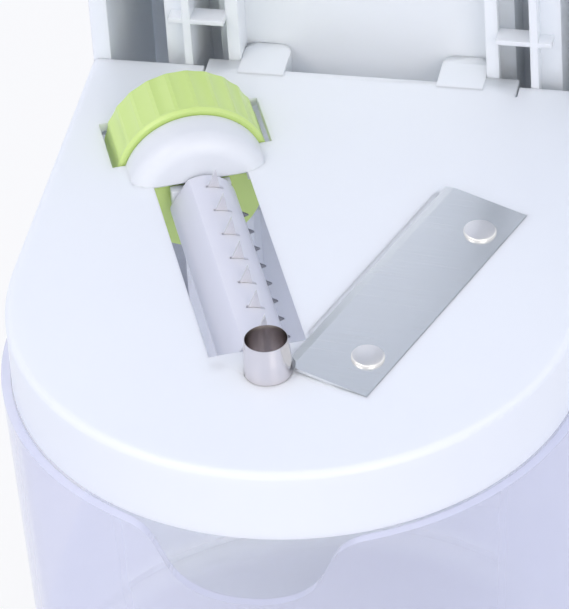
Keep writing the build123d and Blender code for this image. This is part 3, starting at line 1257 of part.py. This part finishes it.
everything = [
    base_foot.part, column.part, column_cap.part, blade_plate.part, container.part, carriage.part,
    crank_arm.part, crank_knob.part, food_holder.part, selector_drum.part, selector_wheel.part,
]
extent = Compound(children=[Compound(piece.wrapped) for piece in everything]).bounding_box()
print(f"overall {extent.size.X:.1f} x {extent.size.Y:.1f} x {extent.size.Z:.1f} mm")
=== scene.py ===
from math import atan2, cos, radians, sin, tau

import bmesh
import bpy
from bpy.props import FloatProperty, FloatVectorProperty, PointerProperty
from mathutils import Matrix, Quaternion, Vector


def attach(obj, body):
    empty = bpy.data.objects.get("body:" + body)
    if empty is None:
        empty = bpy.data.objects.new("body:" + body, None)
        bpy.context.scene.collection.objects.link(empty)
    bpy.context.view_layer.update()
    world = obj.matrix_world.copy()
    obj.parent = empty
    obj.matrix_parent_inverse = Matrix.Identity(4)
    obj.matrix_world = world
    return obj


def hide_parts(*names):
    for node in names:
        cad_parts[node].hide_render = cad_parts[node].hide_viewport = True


bl_info = {
    "name": "Upright Spiralizer",
    "version": (1, 0, 0),
    "blender": (4, 5, 0),
    "location": "View3D > Sidebar > Spiralizer",
    "description": "Finishes and small pieces of a hand cranked upright spiralizer",
    "category": "Object",
}

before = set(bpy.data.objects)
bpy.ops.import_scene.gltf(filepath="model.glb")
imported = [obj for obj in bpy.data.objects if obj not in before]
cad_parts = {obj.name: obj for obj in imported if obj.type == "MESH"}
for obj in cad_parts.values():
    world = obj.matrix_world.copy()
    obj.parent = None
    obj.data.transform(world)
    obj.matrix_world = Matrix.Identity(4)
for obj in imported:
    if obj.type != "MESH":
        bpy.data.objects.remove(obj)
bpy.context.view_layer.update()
MM = 0.001
CUTTING_AXIS = Vector((0, -57.3, 142))      # on the plate's top, mm
BLADE_ACROSS = Vector((0.94264, -0.33381, 0))
BLADE_ALONG = Vector((0.33381, 0.94264, 0))
SLOT_ORIGIN = Vector((-0.644, -57.575, 142))
SLOT_ALONG = Vector((-0.39234, 0.91982, 0))
SLOT_ACROSS = Vector((0.91982, 0.39234, 0))
PLATE_T = 2.2
SLOT_END, SLOT_HALF, SLOT_UNDERCUT = 72.9, 11.0, 2.7
LIP = ((1.0, 15.5), (2.5, 15.5), (2.5, 73.0), (1.0, 73.0))      # under the cutting edge
BLADE_TILT = atan2(1.8, 21)
BLADE_RIGHT = 23.7
RIVET_INSET = 6.2
RIVETS_ALONG = (13.4, 64.0)
LAMPS = (
    ("key_light", (-0.9, -0.9, 1.6), (0, 0.02, 0.12), 0.9, 7.5),
    ("fill_light", (0.9, -1.2, 0.9), (0, 0, 0.14), 0.8, 5.5),
    ("front_light", (-0.3, -1.6, 0.45), (0, 0.04, 0.18), 0.9, 0.8),
)
RIVET_PROFILE = (
    (0, 0.7), (3.35, 0.7), (3.62, 0.6), (3.75, 0.38), (3.75, 0),
    (2, 0), (2, -3.07), (3.2, -3.07), (2.4, -3.77), (0, -3.77),
)


def linear(colour):
    """An sRGB hex colour as a linear red, green and blue."""
    values = [int(colour[i:i + 2], 16) / 255 for i in (1, 3, 5)]
    return tuple(v / 12.92 if v <= 0.04045 else ((v + 0.055) / 1.055) ** 2.4 for v in values)


def colour(name, description, value):
    return FloatVectorProperty(name=name, description=description, default=linear(value), subtype="COLOR",
                               size=3, min=0, max=1)


def length(name, description, value_mm):
    return FloatProperty(name=name, description=description, default=value_mm * MM, min=0,
                         subtype="DISTANCE", unit="LENGTH", precision=5)


def factor(name, description, value):
    return FloatProperty(name=name, description=description, default=value, min=0, max=1, subtype="FACTOR")


def seen_ray(tree):
    """One for rays that the camera, a reflection or a clear wall sends, and nothing for lighting."""
    path = add(tree, "ShaderNodeLightPath")
    seen = add(tree, "ShaderNodeMath", {"operation": "MAXIMUM"},
               {0: (path, "Is Camera Ray"), 1: (path, "Is Glossy Ray")})
    return add(tree, "ShaderNodeMath", {"operation": "MAXIMUM"},
               {0: (seen, 0), 1: (path, "Is Transmission Ray")})


class SpiralizerFinish(bpy.types.PropertyGroup):
    white_abs: colour("White ABS", "Stand, plate, drum, carriage and crank", "#F1F5F7")
    # painted shade: the drum is white ABS, given a darker colour for the shade it sits in within the slot
    drum_painted_shade: colour("White ABS, painted shade", "Selector drum", "#E2E3EA")
    lime_abs: colour("Lime ABS", "Selector wheel and knob", "#D4EC8E")
    clear_san: colour("Clear SAN", "Tint of the container", "#E4E6F7")
    stainless: colour("Stainless steel", "Teeth, rivets and shafts", "#F4F3F5")
    # painted shade: the medium and fine strips get a steel colour darker than stainless, standing in for the shade
    # on their teeth
    painted_shade_steel: colour("Matt stainless steel, painted shade", "Medium and fine toothed strips", "#94959C")
    tube_steel: colour("Tube steel", "Outside of the corer ring", "#DFDCE0")
    bore_painted_shade: colour("Tube bore, painted shade", "Inside of the corer ring, darkened as painted shade", "#C4BDBC")
    blade_steel: colour("Blade steel", "Ribbon blade", "#E8EBEE")
    spring_steel: colour("Spring steel", "Detent and brake strips", "#9FA1A6")
    zinc: colour("Zinc-plated steel", "Screws", "#B9BCC2")
    rubber: colour("Moulded rubber", "Suction feet", "#2B2C2E")


class SpiralizerGrain(bpy.types.PropertyGroup):
    eroded: length("Spark-eroded grain", "Grain of the mould on the outer plastic faces", 0.35)
    flow: length("Flow marks", "Width of the faint waves that moulding leaves in clear plastic", 14.0)
    brush_pitch: length("Brush spacing", "Distance between brush lines on the blade", 0.22)
    brush_run: length("Brush length", "Length of a brush line on the blade", 26.0)
    turned_pitch: length("Turning spacing", "Distance between turned lines on the corer ring", 0.3)
    edge: length("Edge radius", "Round that a mould leaves on the plastic's edges", 0.3)
    rim_highlight_from: length("Rim highlight, painted", "Height from which the container's rim is painted lighter", 90.0)


class SpiralizerStage(bpy.types.PropertyGroup):
    backdrop: colour("Backdrop", "Floor and surroundings as the camera sees them", "#FFFFFF")
    ambient: colour("Ambient", "Soft light from all round", "#E3E9FF")
    ambient_level: factor("Ambient level", "Strength of the soft light from all round", 0.96)
    lamp_tint: colour("Lamps", "Soft boxes", "#FFF4E4")
    floor_size: FloatProperty(name="Floor size", description="Width of the floor", default=6.0, min=1,
                              subtype="DISTANCE", unit="LENGTH")


def add(tree, kind, settings=(), links=()):
    """Adds a node, sets its properties or input values, and links inputs to other nodes' outputs."""
    node = tree.nodes.new(kind)
    for key, value in dict(settings).items():
        if isinstance(key, str) and hasattr(node, key):
            setattr(node, key, value)
        else:
            node.inputs[key].default_value = value
    for key, (source, output) in dict(links).items():
        tree.links.new(source.outputs[output], node.inputs[key])
    return node


def rgba(value, alpha=1.0):
    return (*value[:3], alpha)


def material(name, colour_value):
    made = bpy.data.materials.new(name)
    made.use_nodes = True
    made.diffuse_color = rgba(colour_value)
    made.node_tree.nodes.clear()
    return made, made.node_tree


def close(tree, shader, output="BSDF"):
    add(tree, "ShaderNodeOutputMaterial", links={"Surface": (shader, output)})


def object_point(tree):
    return add(tree, "ShaderNodeTexCoord")


def moulded_plastic(name, base, grain, roughness, edge, glow):
    """Injection-moulded ABS: an even body colour, a soft and slightly uneven gloss, and a fine grain."""
    made, tree = material(name, base)
    point = object_point(tree)
    grain_noise = add(tree, "ShaderNodeTexNoise", {"Scale": 1 / grain, "Detail": 2.0, "Roughness": 0.5},
                      {"Vector": (point, "Object")})
    cloud = add(tree, "ShaderNodeTexNoise", {"Scale": 1 / (60 * grain), "Detail": 2.0},
                {"Vector": (point, "Object")})
    shine = add(tree, "ShaderNodeMapRange", {"To Min": roughness - 0.04, "To Max": roughness + 0.05},
                {"Value": (cloud, "Fac")})
    tone = add(tree, "ShaderNodeMix",
               {"data_type": "RGBA", 6: rgba([0.985 * c for c in base]), 7: rgba(base)},
               {0: (cloud, "Fac")})
    rounded = add(tree, "ShaderNodeBevel", {"samples": 4, "Radius": edge})
    bump = add(tree, "ShaderNodeBump", {"Strength": 0.06, "Distance": 0.02 * MM},
               {"Height": (grain_noise, "Fac"), "Normal": (rounded, "Normal")})
    shader = add(tree, "ShaderNodeBsdfPrincipled",
                 {"IOR": 1.53, "Subsurface Weight": glow, "Subsurface Radius": (1.0, 1.0, 1.0),
                  "Subsurface Scale": 3 * MM},
                 {"Base Color": (tone, 2), "Roughness": (shine, "Result"), "Normal": (bump, "Normal")})
    close(tree, shader)
    return made


def clear_plastic(name, tint, flow, edge, rim_highlight_from):
    """Injection-moulded SAN: clear, polished and cool, with faint waves, and a painted highlight on the rim, whose
    upward faces are made more opaque so that they show lighter.

    Its walls pass light to what stands inside more freely than the camera sees through them.
    """
    made, tree = material(name, tint)
    point = object_point(tree)
    waves = add(tree, "ShaderNodeTexNoise", {"Scale": 1 / flow, "Detail": 1.0}, {"Vector": (point, "Object")})
    rounded = add(tree, "ShaderNodeBevel", {"samples": 4, "Radius": edge})
    bump = add(tree, "ShaderNodeBump", {"Strength": 0.3, "Distance": 0.3 * MM},
               {"Height": (waves, "Fac"), "Normal": (rounded, "Normal")})
    slant = add(tree, "ShaderNodeLayerWeight", {"Blend": 0.4}, {"Normal": (bump, "Normal")})
    wall = add(tree, "ShaderNodeMapRange", {"To Min": 0.12, "To Max": 0.62}, {"Value": (slant, "Facing")})
    surface = add(tree, "ShaderNodeNewGeometry")
    upright = add(tree, "ShaderNodeSeparateXYZ", links={"Vector": (surface, "True Normal")})
    height = add(tree, "ShaderNodeSeparateXYZ", links={"Vector": (point, "Object")})
    # painted highlight: upward faces of the rim above a height are made more opaque, so the tint shows lighter
    # there
    level = add(tree, "ShaderNodeMapRange", {"From Min": 0.3, "From Max": 0.7, "To Max": 0.66},
                {"Value": (upright, "Z")})
    high = add(tree, "ShaderNodeMath", {"operation": "GREATER_THAN", 1: rim_highlight_from}, {0: (height, "Z")})
    rim = add(tree, "ShaderNodeMath", {"operation": "MULTIPLY"}, {0: (level, "Result"), 1: (high, 0)})
    body = add(tree, "ShaderNodeMath", {"operation": "MAXIMUM"}, {0: (wall, "Result"), 1: (rim, 0)})
    path = add(tree, "ShaderNodeLightPath")
    lighting = add(tree, "ShaderNodeMath", {"operation": "MAXIMUM"},
                   {0: (path, "Is Shadow Ray"), 1: (path, "Is Diffuse Ray")})
    passed = add(tree, "ShaderNodeMapRange", {"To Min": 1.0, "To Max": 0.25}, {"Value": (lighting, 0)})
    opaque = add(tree, "ShaderNodeMath", {"operation": "MULTIPLY"}, {0: (body, 0), 1: (passed, "Result")})
    shader = add(tree, "ShaderNodeBsdfPrincipled", {"Base Color": rgba(tint), "Roughness": 0.05, "IOR": 1.57},
                 {"Normal": (bump, "Normal"), "Alpha": (opaque, 0)})
    close(tree, shader)
    return made


def brushed_steel(name, base, across, along, direction, roughness):
    """Cold-rolled stainless sheet, brushed: long fine lines that smear reflections across them."""
    made, tree = material(name, base)
    point = object_point(tree)
    turn = add(tree, "ShaderNodeMapping",
               {"Rotation": (0, 0, -direction), "Scale": (1 / along, 1 / across, 1 / along)},
               {"Vector": (point, "Object")})
    lines = add(tree, "ShaderNodeTexNoise", {"Scale": 1.0, "Detail": 3.0, "Roughness": 0.6},
                {"Vector": (turn, "Vector")})
    shine = add(tree, "ShaderNodeMapRange", {"To Min": roughness - 0.06, "To Max": roughness + 0.08},
                {"Value": (lines, "Fac")})
    tone = add(tree, "ShaderNodeMix", {"data_type": "RGBA", 6: rgba([0.88 * c for c in base]), 7: rgba(base)},
               {0: (lines, "Fac")})
    bump = add(tree, "ShaderNodeBump", {"Strength": 0.12, "Distance": 0.02 * MM}, {"Height": (lines, "Fac")})
    shader = add(tree, "ShaderNodeBsdfPrincipled", {"Metallic": 1.0},
                 {"Base Color": (tone, 2), "Roughness": (shine, "Result"), "Normal": (bump, "Normal")})
    close(tree, shader)
    return made


def turned_tube(name, outside, inside, pitch, axis, roughness):
    """Stainless tube: turned and polished outside; inside, a darker, brownish colour is painted in as shade."""
    made, tree = material(name, outside)
    point = object_point(tree)
    rings = add(tree, "ShaderNodeMapping", {"Scale": (1, 1, 1 / pitch)}, {"Vector": (point, "Object")})
    lines = add(tree, "ShaderNodeTexNoise", {"Scale": 1.0, "Detail": 3.0}, {"Vector": (rings, "Vector")})
    surface = add(tree, "ShaderNodeNewGeometry")
    apart = add(tree, "ShaderNodeVectorMath", {"operation": "SUBTRACT", 1: (axis[0], axis[1], 0)},
                {0: (point, "Object")})
    outward = add(tree, "ShaderNodeVectorMath", {"operation": "MULTIPLY", 1: (1, 1, 0)},
                  {0: (apart, "Vector")})
    facing = add(tree, "ShaderNodeVectorMath", {"operation": "DOT_PRODUCT"},
                 {0: (outward, "Vector"), 1: (surface, "True Normal")})
    # painted shade: faces inside the bore take the darker, brownish colour
    within = add(tree, "ShaderNodeMath", {"operation": "LESS_THAN", 1: 0.0}, {0: (facing, "Value")})
    tone = add(tree, "ShaderNodeMix", {"data_type": "RGBA", 6: rgba(outside), 7: rgba(inside)},
               {0: (within, 0)})
    shine = add(tree, "ShaderNodeMapRange", {"To Min": roughness - 0.06, "To Max": roughness + 0.08},
                {"Value": (lines, "Fac")})
    bump = add(tree, "ShaderNodeBump", {"Strength": 0.12, "Distance": 0.02 * MM}, {"Height": (lines, "Fac")})
    shader = add(tree, "ShaderNodeBsdfPrincipled", {"Metallic": 1.0},
                 {"Base Color": (tone, 2), "Roughness": (shine, "Result"), "Normal": (bump, "Normal")})
    close(tree, shader)
    return made


def matt_rubber(name, base, grain):
    """Compression-moulded rubber: dark, matt and slightly dusty, so it shows no clear reflection."""
    made, tree = material(name, base)
    point = object_point(tree)
    dust = add(tree, "ShaderNodeTexNoise", {"Scale": 1 / (12 * grain), "Detail": 4.0},
               {"Vector": (point, "Object")})
    tone = add(tree, "ShaderNodeMix", {"data_type": "RGBA", 6: rgba(base), 7: rgba([1.5 * c for c in base])},
               {0: (dust, "Fac")})
    shader = add(tree, "ShaderNodeBsdfPrincipled", {"Roughness": 0.75, "IOR": 1.52}, {"Base Color": (tone, 2)})
    close(tree, shader)
    return made


def on_plate(across, along, up):
    """A point from the cutting axis on the plate's top, in mm across and along the ribbon blade."""
    point = CUTTING_AXIS + across * BLADE_ACROSS + along * BLADE_ALONG + Vector((0, 0, up))
    return point * MM


def on_slot(along, across, up):
    """A point from the start of the drum's slot, in mm along and across it."""
    point = SLOT_ORIGIN + along * SLOT_ALONG + across * SLOT_ACROSS + Vector((0, 0, up))
    return point * MM


def box_of(form, corners):
    """Adds a closed block to a bmesh: the first four corners go round its floor, the others round its top."""
    verts = [form.verts.new(corner) for corner in corners]
    for face in ((3, 2, 1, 0), (4, 5, 6, 7), (0, 1, 5, 4), (1, 2, 6, 5), (2, 3, 7, 6), (3, 0, 4, 7)):
        form.faces.new([verts[i] for i in face])


def lathe(form, profile, place, axis, steps):
    """Adds a turned solid to a bmesh: radii and heights in mm, from the axis back to the axis."""
    side = axis.orthogonal().normalized()
    verts = [form.verts.new(place + (radius * side + height * axis) * MM) for radius, height in profile]
    edges = [form.edges.new(pair) for pair in zip(verts, verts[1:])]
    bmesh.ops.spin(form, geom=verts + edges, cent=place, axis=axis, angle=tau, steps=steps, use_merge=True)
    bmesh.ops.remove_doubles(form, verts=form.verts, dist=0.001 * MM)
    bmesh.ops.recalc_face_normals(form, faces=form.faces)


def piece_of(name, form, finish, sharp=radians(35)):
    """Turns a bmesh into an object with one finish and edges that are sharp above an angle."""
    mesh = bpy.data.meshes.new(name)
    form.to_mesh(mesh)
    form.free()
    mesh.shade_smooth()
    mesh.set_sharp_from_angle(angle=sharp)
    mesh.materials.append(finish)
    piece = bpy.data.objects.new(name, mesh)
    bpy.context.scene.collection.objects.link(piece)
    return piece


def dress(names, finish):
    for name in names:
        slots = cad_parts[name].data.materials
        slots.clear()
        slots.append(finish)


class SPIRALIZER_OT_stage(bpy.types.Operator):
    """Floor, surrounding light, lamps and the camera at the photograph's viewing angle"""

    bl_idname = "spiralizer.stage"
    bl_label = "Stage"

    def execute(self, context):
        sizes = context.scene.spiralizer_stage
        self.floor(sizes)
        self.world(context.scene, sizes)
        for name, place, target, size, power in LAMPS:
            self.lamp(name, place, target, size, power, sizes.lamp_tint)
        self.camera(context.scene)
        context.scene.view_settings.view_transform = "Standard"
        return {"FINISHED"}

    def floor(self, sizes):
        half = sizes.floor_size / 2
        mesh = bpy.data.meshes.new("floor")
        corners = [(-half, -half, 0), (half, -half, 0), (half, half, 0), (-half, half, 0)]
        mesh.from_pydata(corners, [], [(0, 1, 2, 3)])
        floor = bpy.data.objects.new("floor", mesh)
        bpy.context.scene.collection.objects.link(floor)
        made, tree = material("Matt paper backdrop", sizes.backdrop)
        seen = seen_ray(tree)
        share = add(tree, "ShaderNodeMath", {"operation": "MULTIPLY", 1: 0.82}, {0: (seen, 0)})
        paper = add(tree, "ShaderNodeBsdfDiffuse", {"Color": (0.82, 0.82, 0.84, 1)})
        glow = add(tree, "ShaderNodeEmission", {"Color": rgba(sizes.backdrop), "Strength": 1.0})
        mix = add(tree, "ShaderNodeMixShader", {}, {0: (share, 0), 1: (paper, "BSDF"), 2: (glow, "Emission")})
        close(tree, mix, "Shader")
        mesh.materials.append(made)

    def world(self, scene, sizes):
        scene.world = bpy.data.worlds.new("Studio")
        scene.world.use_nodes = True
        tree = scene.world.node_tree
        tree.nodes.clear()
        seen = seen_ray(tree)
        soft = add(tree, "ShaderNodeBackground",
                   {"Color": rgba(sizes.ambient), "Strength": sizes.ambient_level})
        white = add(tree, "ShaderNodeBackground", {"Color": rgba(sizes.backdrop), "Strength": 1.0})
        mix = add(tree, "ShaderNodeMixShader", {},
                  {0: (seen, 0), 1: (soft, "Background"), 2: (white, "Background")})
        add(tree, "ShaderNodeOutputWorld", {}, {"Surface": (mix, "Shader")})

    def lamp(self, name, place, target, size, power, tint):
        data = bpy.data.lights.new(name, "AREA")
        data.shape, data.size, data.energy = "SQUARE", size, power
        data.color = tint
        lamp = bpy.data.objects.new(name, data)
        lamp.location = place
        lamp.rotation_mode = "QUATERNION"
        lamp.rotation_quaternion = (Vector(target) - Vector(place)).to_track_quat("-Z", "Y")
        lamp.visible_camera = False
        bpy.context.scene.collection.objects.link(lamp)

    def camera(self, scene):
        data = bpy.data.cameras.new("camera")
        data.sensor_width, data.lens = 36, 306.8
        data.clip_start, data.clip_end = 0.05, 20
        camera = bpy.data.objects.new("camera", data)
        camera.location = (0.21524, -0.91801, 0.85355)
        camera.rotation_mode = "QUATERNION"
        camera.rotation_quaternion = Quaternion((0.895658, 0.432973, 0.067965, 0.075578))
        scene.collection.objects.link(camera)
        scene.camera = camera


class SPIRALIZER_OT_white_mouldings(bpy.types.Operator):
    """White ABS pieces: stand, plate, drum, carriage, holder, crank arm and bushings"""

    bl_idname = "spiralizer.white_mouldings"
    bl_label = "White mouldings"

    def execute(self, context):
        finish, grain = context.scene.spiralizer_finish, context.scene.spiralizer_grain
        outer = moulded_plastic("White ABS, injection moulded", finish.white_abs[:], grain.eroded, 0.34,
                                grain.edge, 0.6)
        dress(["base_foot", "column", "column_cap", "blade_plate", "crank_arm", "front_bracket", "carriage",
               "food_holder", "upper_bushing", "lower_bushing"], outer)
        self.plate(outer)
        # painted shade: a darker copy of the white ABS for the drum, which lies in the slot's shade
        painted_shade_white = moulded_plastic("White ABS, painted shade, injection moulded", finish.drum_painted_shade[:], grain.eroded, 0.4,
                                grain.edge, 0.3)
        dress(["selector_drum"], painted_shade_white)
        return {"FINISHED"}

    def plate(self, finish):
        """The plate with the slot's back wall leaning away and a lip under the blade's cutting edge."""
        form = bmesh.new()
        form.from_mesh(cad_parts["blade_plate"].data)
        bmesh.ops.remove_doubles(form, verts=form.verts, dist=0.0005 * MM)
        plate = piece_of("slotted_plate", form, finish)
        wedge = bmesh.new()
        box_of(wedge, [on_slot(along, across, -PLATE_T - 0.05)
                       for along, across in ((SLOT_END - 1, -SLOT_HALF), (SLOT_END + SLOT_UNDERCUT, -SLOT_HALF),
                                             (SLOT_END + SLOT_UNDERCUT, SLOT_HALF), (SLOT_END - 1, SLOT_HALF))]
               + [on_slot(along, across, -0.02)
                  for along, across in ((SLOT_END - 1, -SLOT_HALF), (SLOT_END, -SLOT_HALF),
                                        (SLOT_END, SLOT_HALF), (SLOT_END - 1, SLOT_HALF))])
        bmesh.ops.recalc_face_normals(wedge, faces=wedge.faces)
        cutter = piece_of("slot_wedge", wedge, finish)
        cut = plate.modifiers.new("undercut", "BOOLEAN")
        cut.operation, cut.object, cut.solver = "DIFFERENCE", cutter, "EXACT"
        shaped = bpy.data.meshes.new_from_object(plate.evaluated_get(bpy.context.evaluated_depsgraph_get()))
        plate.modifiers.clear()
        if not 0.9 < len(shaped.polygons) / len(plate.data.polygons) < 1.5:
            raise RuntimeError("the slot's undercut failed")
        bpy.data.objects.remove(cutter)
        form = bmesh.new()
        form.from_mesh(shaped)
        box_of(form, [on_plate(across, along, up) for up in (-PLATE_T, 0) for across, along in LIP])
        bpy.data.objects.remove(plate)
        plate = piece_of("slotted_plate", form, finish)
        level = plate.modifiers.new("even_shading", "WEIGHTED_NORMAL")
        level.keep_sharp, level.weight = True, 100
        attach(plate, "stand")
        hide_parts("blade_plate")


class SPIRALIZER_OT_lime_mouldings(bpy.types.Operator):
    """Lime ABS pieces: selector wheel and knob"""

    bl_idname = "spiralizer.lime_mouldings"
    bl_label = "Lime mouldings"

    def execute(self, context):
        finish, grain = context.scene.spiralizer_finish, context.scene.spiralizer_grain
        lime = moulded_plastic("Lime ABS, injection moulded", finish.lime_abs[:], grain.eroded, 0.32,
                               0.5 * grain.edge, 0.1)
        dress(["selector_wheel", "crank_knob", "knob_cap"], lime)
        return {"FINISHED"}


class SPIRALIZER_OT_container(bpy.types.Operator):
    """Clear container under the blade plate"""

    bl_idname = "spiralizer.container"
    bl_label = "Container"

    def execute(self, context):
        finish, grain = context.scene.spiralizer_finish, context.scene.spiralizer_grain
        clear = clear_plastic("Clear SAN, polished mould", finish.clear_san[:], grain.flow, grain.edge,
                              grain.rim_highlight_from)
        dress(["container"], clear)
        return {"FINISHED"}


class SPIRALIZER_OT_cutting_steel(bpy.types.Operator):
    """Ribbon blade, corer ring, toothed strips and rivets"""

    bl_idname = "spiralizer.cutting_steel"
    bl_label = "Cutting steel"

    def execute(self, context):
        finish, grain = context.scene.spiralizer_finish, context.scene.spiralizer_grain
        steel = finish.stainless[:]
        sheet = brushed_steel("Stainless sheet, brushed", finish.blade_steel[:], grain.brush_pitch,
                              grain.brush_run, radians(55), 0.24)
        dress(["ribbon_blade"], sheet)
        # the bore's darker colour is painted shade
        dress(["corer_ring"], turned_tube("Stainless tube, turned", finish.tube_steel[:], finish.bore_painted_shade[:],
                                          grain.turned_pitch, CUTTING_AXIS * MM, 0.22))
        punched = brushed_steel("Stainless, punched", steel, grain.turned_pitch, grain.turned_pitch, 0, 0.32)
        dress(["coarse_strip", "blade_rivets", "knob_pin", "drive_shaft"], punched)
        # painted shade: the darker base colour of the medium and fine strips stands in for the shade their teeth
        # sit in
        dress(["medium_strip", "fine_strip"],
              brushed_steel("Stainless, punched and tumbled, painted shade", finish.painted_shade_steel[:], grain.turned_pitch,
                            grain.turned_pitch, 0, 0.45))
        self.rivets(punched)
        return {"FINISHED"}

    def rivets(self, finish):
        """Two flat-headed rivets that hold the blade, with their formed ends under the plate."""
        normal = sin(BLADE_TILT) * BLADE_ACROSS + cos(BLADE_TILT) * Vector((0, 0, 1))
        form = bmesh.new()
        for along in RIVETS_ALONG:
            place = on_plate(BLADE_RIGHT - RIVET_INSET * cos(BLADE_TILT), along, RIVET_INSET * sin(BLADE_TILT))
            lathe(form, RIVET_PROFILE, place, normal, 48)
        rivets = piece_of("flat_rivets", form, finish, radians(50))
        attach(rivets, "stand")
        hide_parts("blade_rivets")


class SPIRALIZER_OT_hardware(bpy.types.Operator):
    """Screws, springs and rubber feet"""

    bl_idname = "spiralizer.hardware"
    bl_label = "Hardware"

    def execute(self, context):
        finish, grain = context.scene.spiralizer_finish, context.scene.spiralizer_grain
        dress(["plate_screws", "column_screws", "cap_screws", "bracket_screws", "wheel_screw", "detent_screw",
               "holder_screw", "crank_screw"],
              brushed_steel("Steel, zinc plated", finish.zinc[:], grain.turned_pitch, grain.turned_pitch, 0, 0.35))
        dress(["detent_spring", "brake_spring"],
              brushed_steel("Spring steel, rolled", finish.spring_steel[:], grain.brush_pitch,
                            grain.brush_run, 0, 0.3))
        dress([f"suction_foot_{n}" for n in range(1, 5)],
              matt_rubber("Rubber, compression moulded", finish.rubber[:], grain.eroded))
        return {"FINISHED"}


class SPIRALIZER_PT_panel(bpy.types.Panel):
    bl_idname = "SPIRALIZER_PT_panel"
    bl_label = "Upright Spiralizer"
    bl_space_type = "VIEW_3D"
    bl_region_type = "UI"
    bl_category = "Spiralizer"

    def draw(self, context):
        scene = context.scene
        for group in (scene.spiralizer_finish, scene.spiralizer_grain, scene.spiralizer_stage):
            box = self.layout.box()
            for name in group.__annotations__:
                box.prop(group, name)
        for step in STEPS:
            self.layout.operator(step.bl_idname)


STEPS = (
    SPIRALIZER_OT_stage,
    SPIRALIZER_OT_white_mouldings,
    SPIRALIZER_OT_lime_mouldings,
    SPIRALIZER_OT_container,
    SPIRALIZER_OT_cutting_steel,
    SPIRALIZER_OT_hardware,
)
CLASSES = (SpiralizerFinish, SpiralizerGrain, SpiralizerStage, *STEPS, SPIRALIZER_PT_panel)


def register():
    for kind in CLASSES:
        bpy.utils.register_class(kind)
    bpy.types.Scene.spiralizer_finish = PointerProperty(type=SpiralizerFinish)
    bpy.types.Scene.spiralizer_grain = PointerProperty(type=SpiralizerGrain)
    bpy.types.Scene.spiralizer_stage = PointerProperty(type=SpiralizerStage)


def unregister():
    del bpy.types.Scene.spiralizer_stage
    del bpy.types.Scene.spiralizer_grain
    del bpy.types.Scene.spiralizer_finish
    for kind in reversed(CLASSES):
        bpy.utils.unregister_class(kind)


def main():
    register()
    for step in STEPS:
        group, action = step.bl_idname.split(".")
        getattr(getattr(bpy.ops, group), action)()


if __name__ == "__main__":
    main()
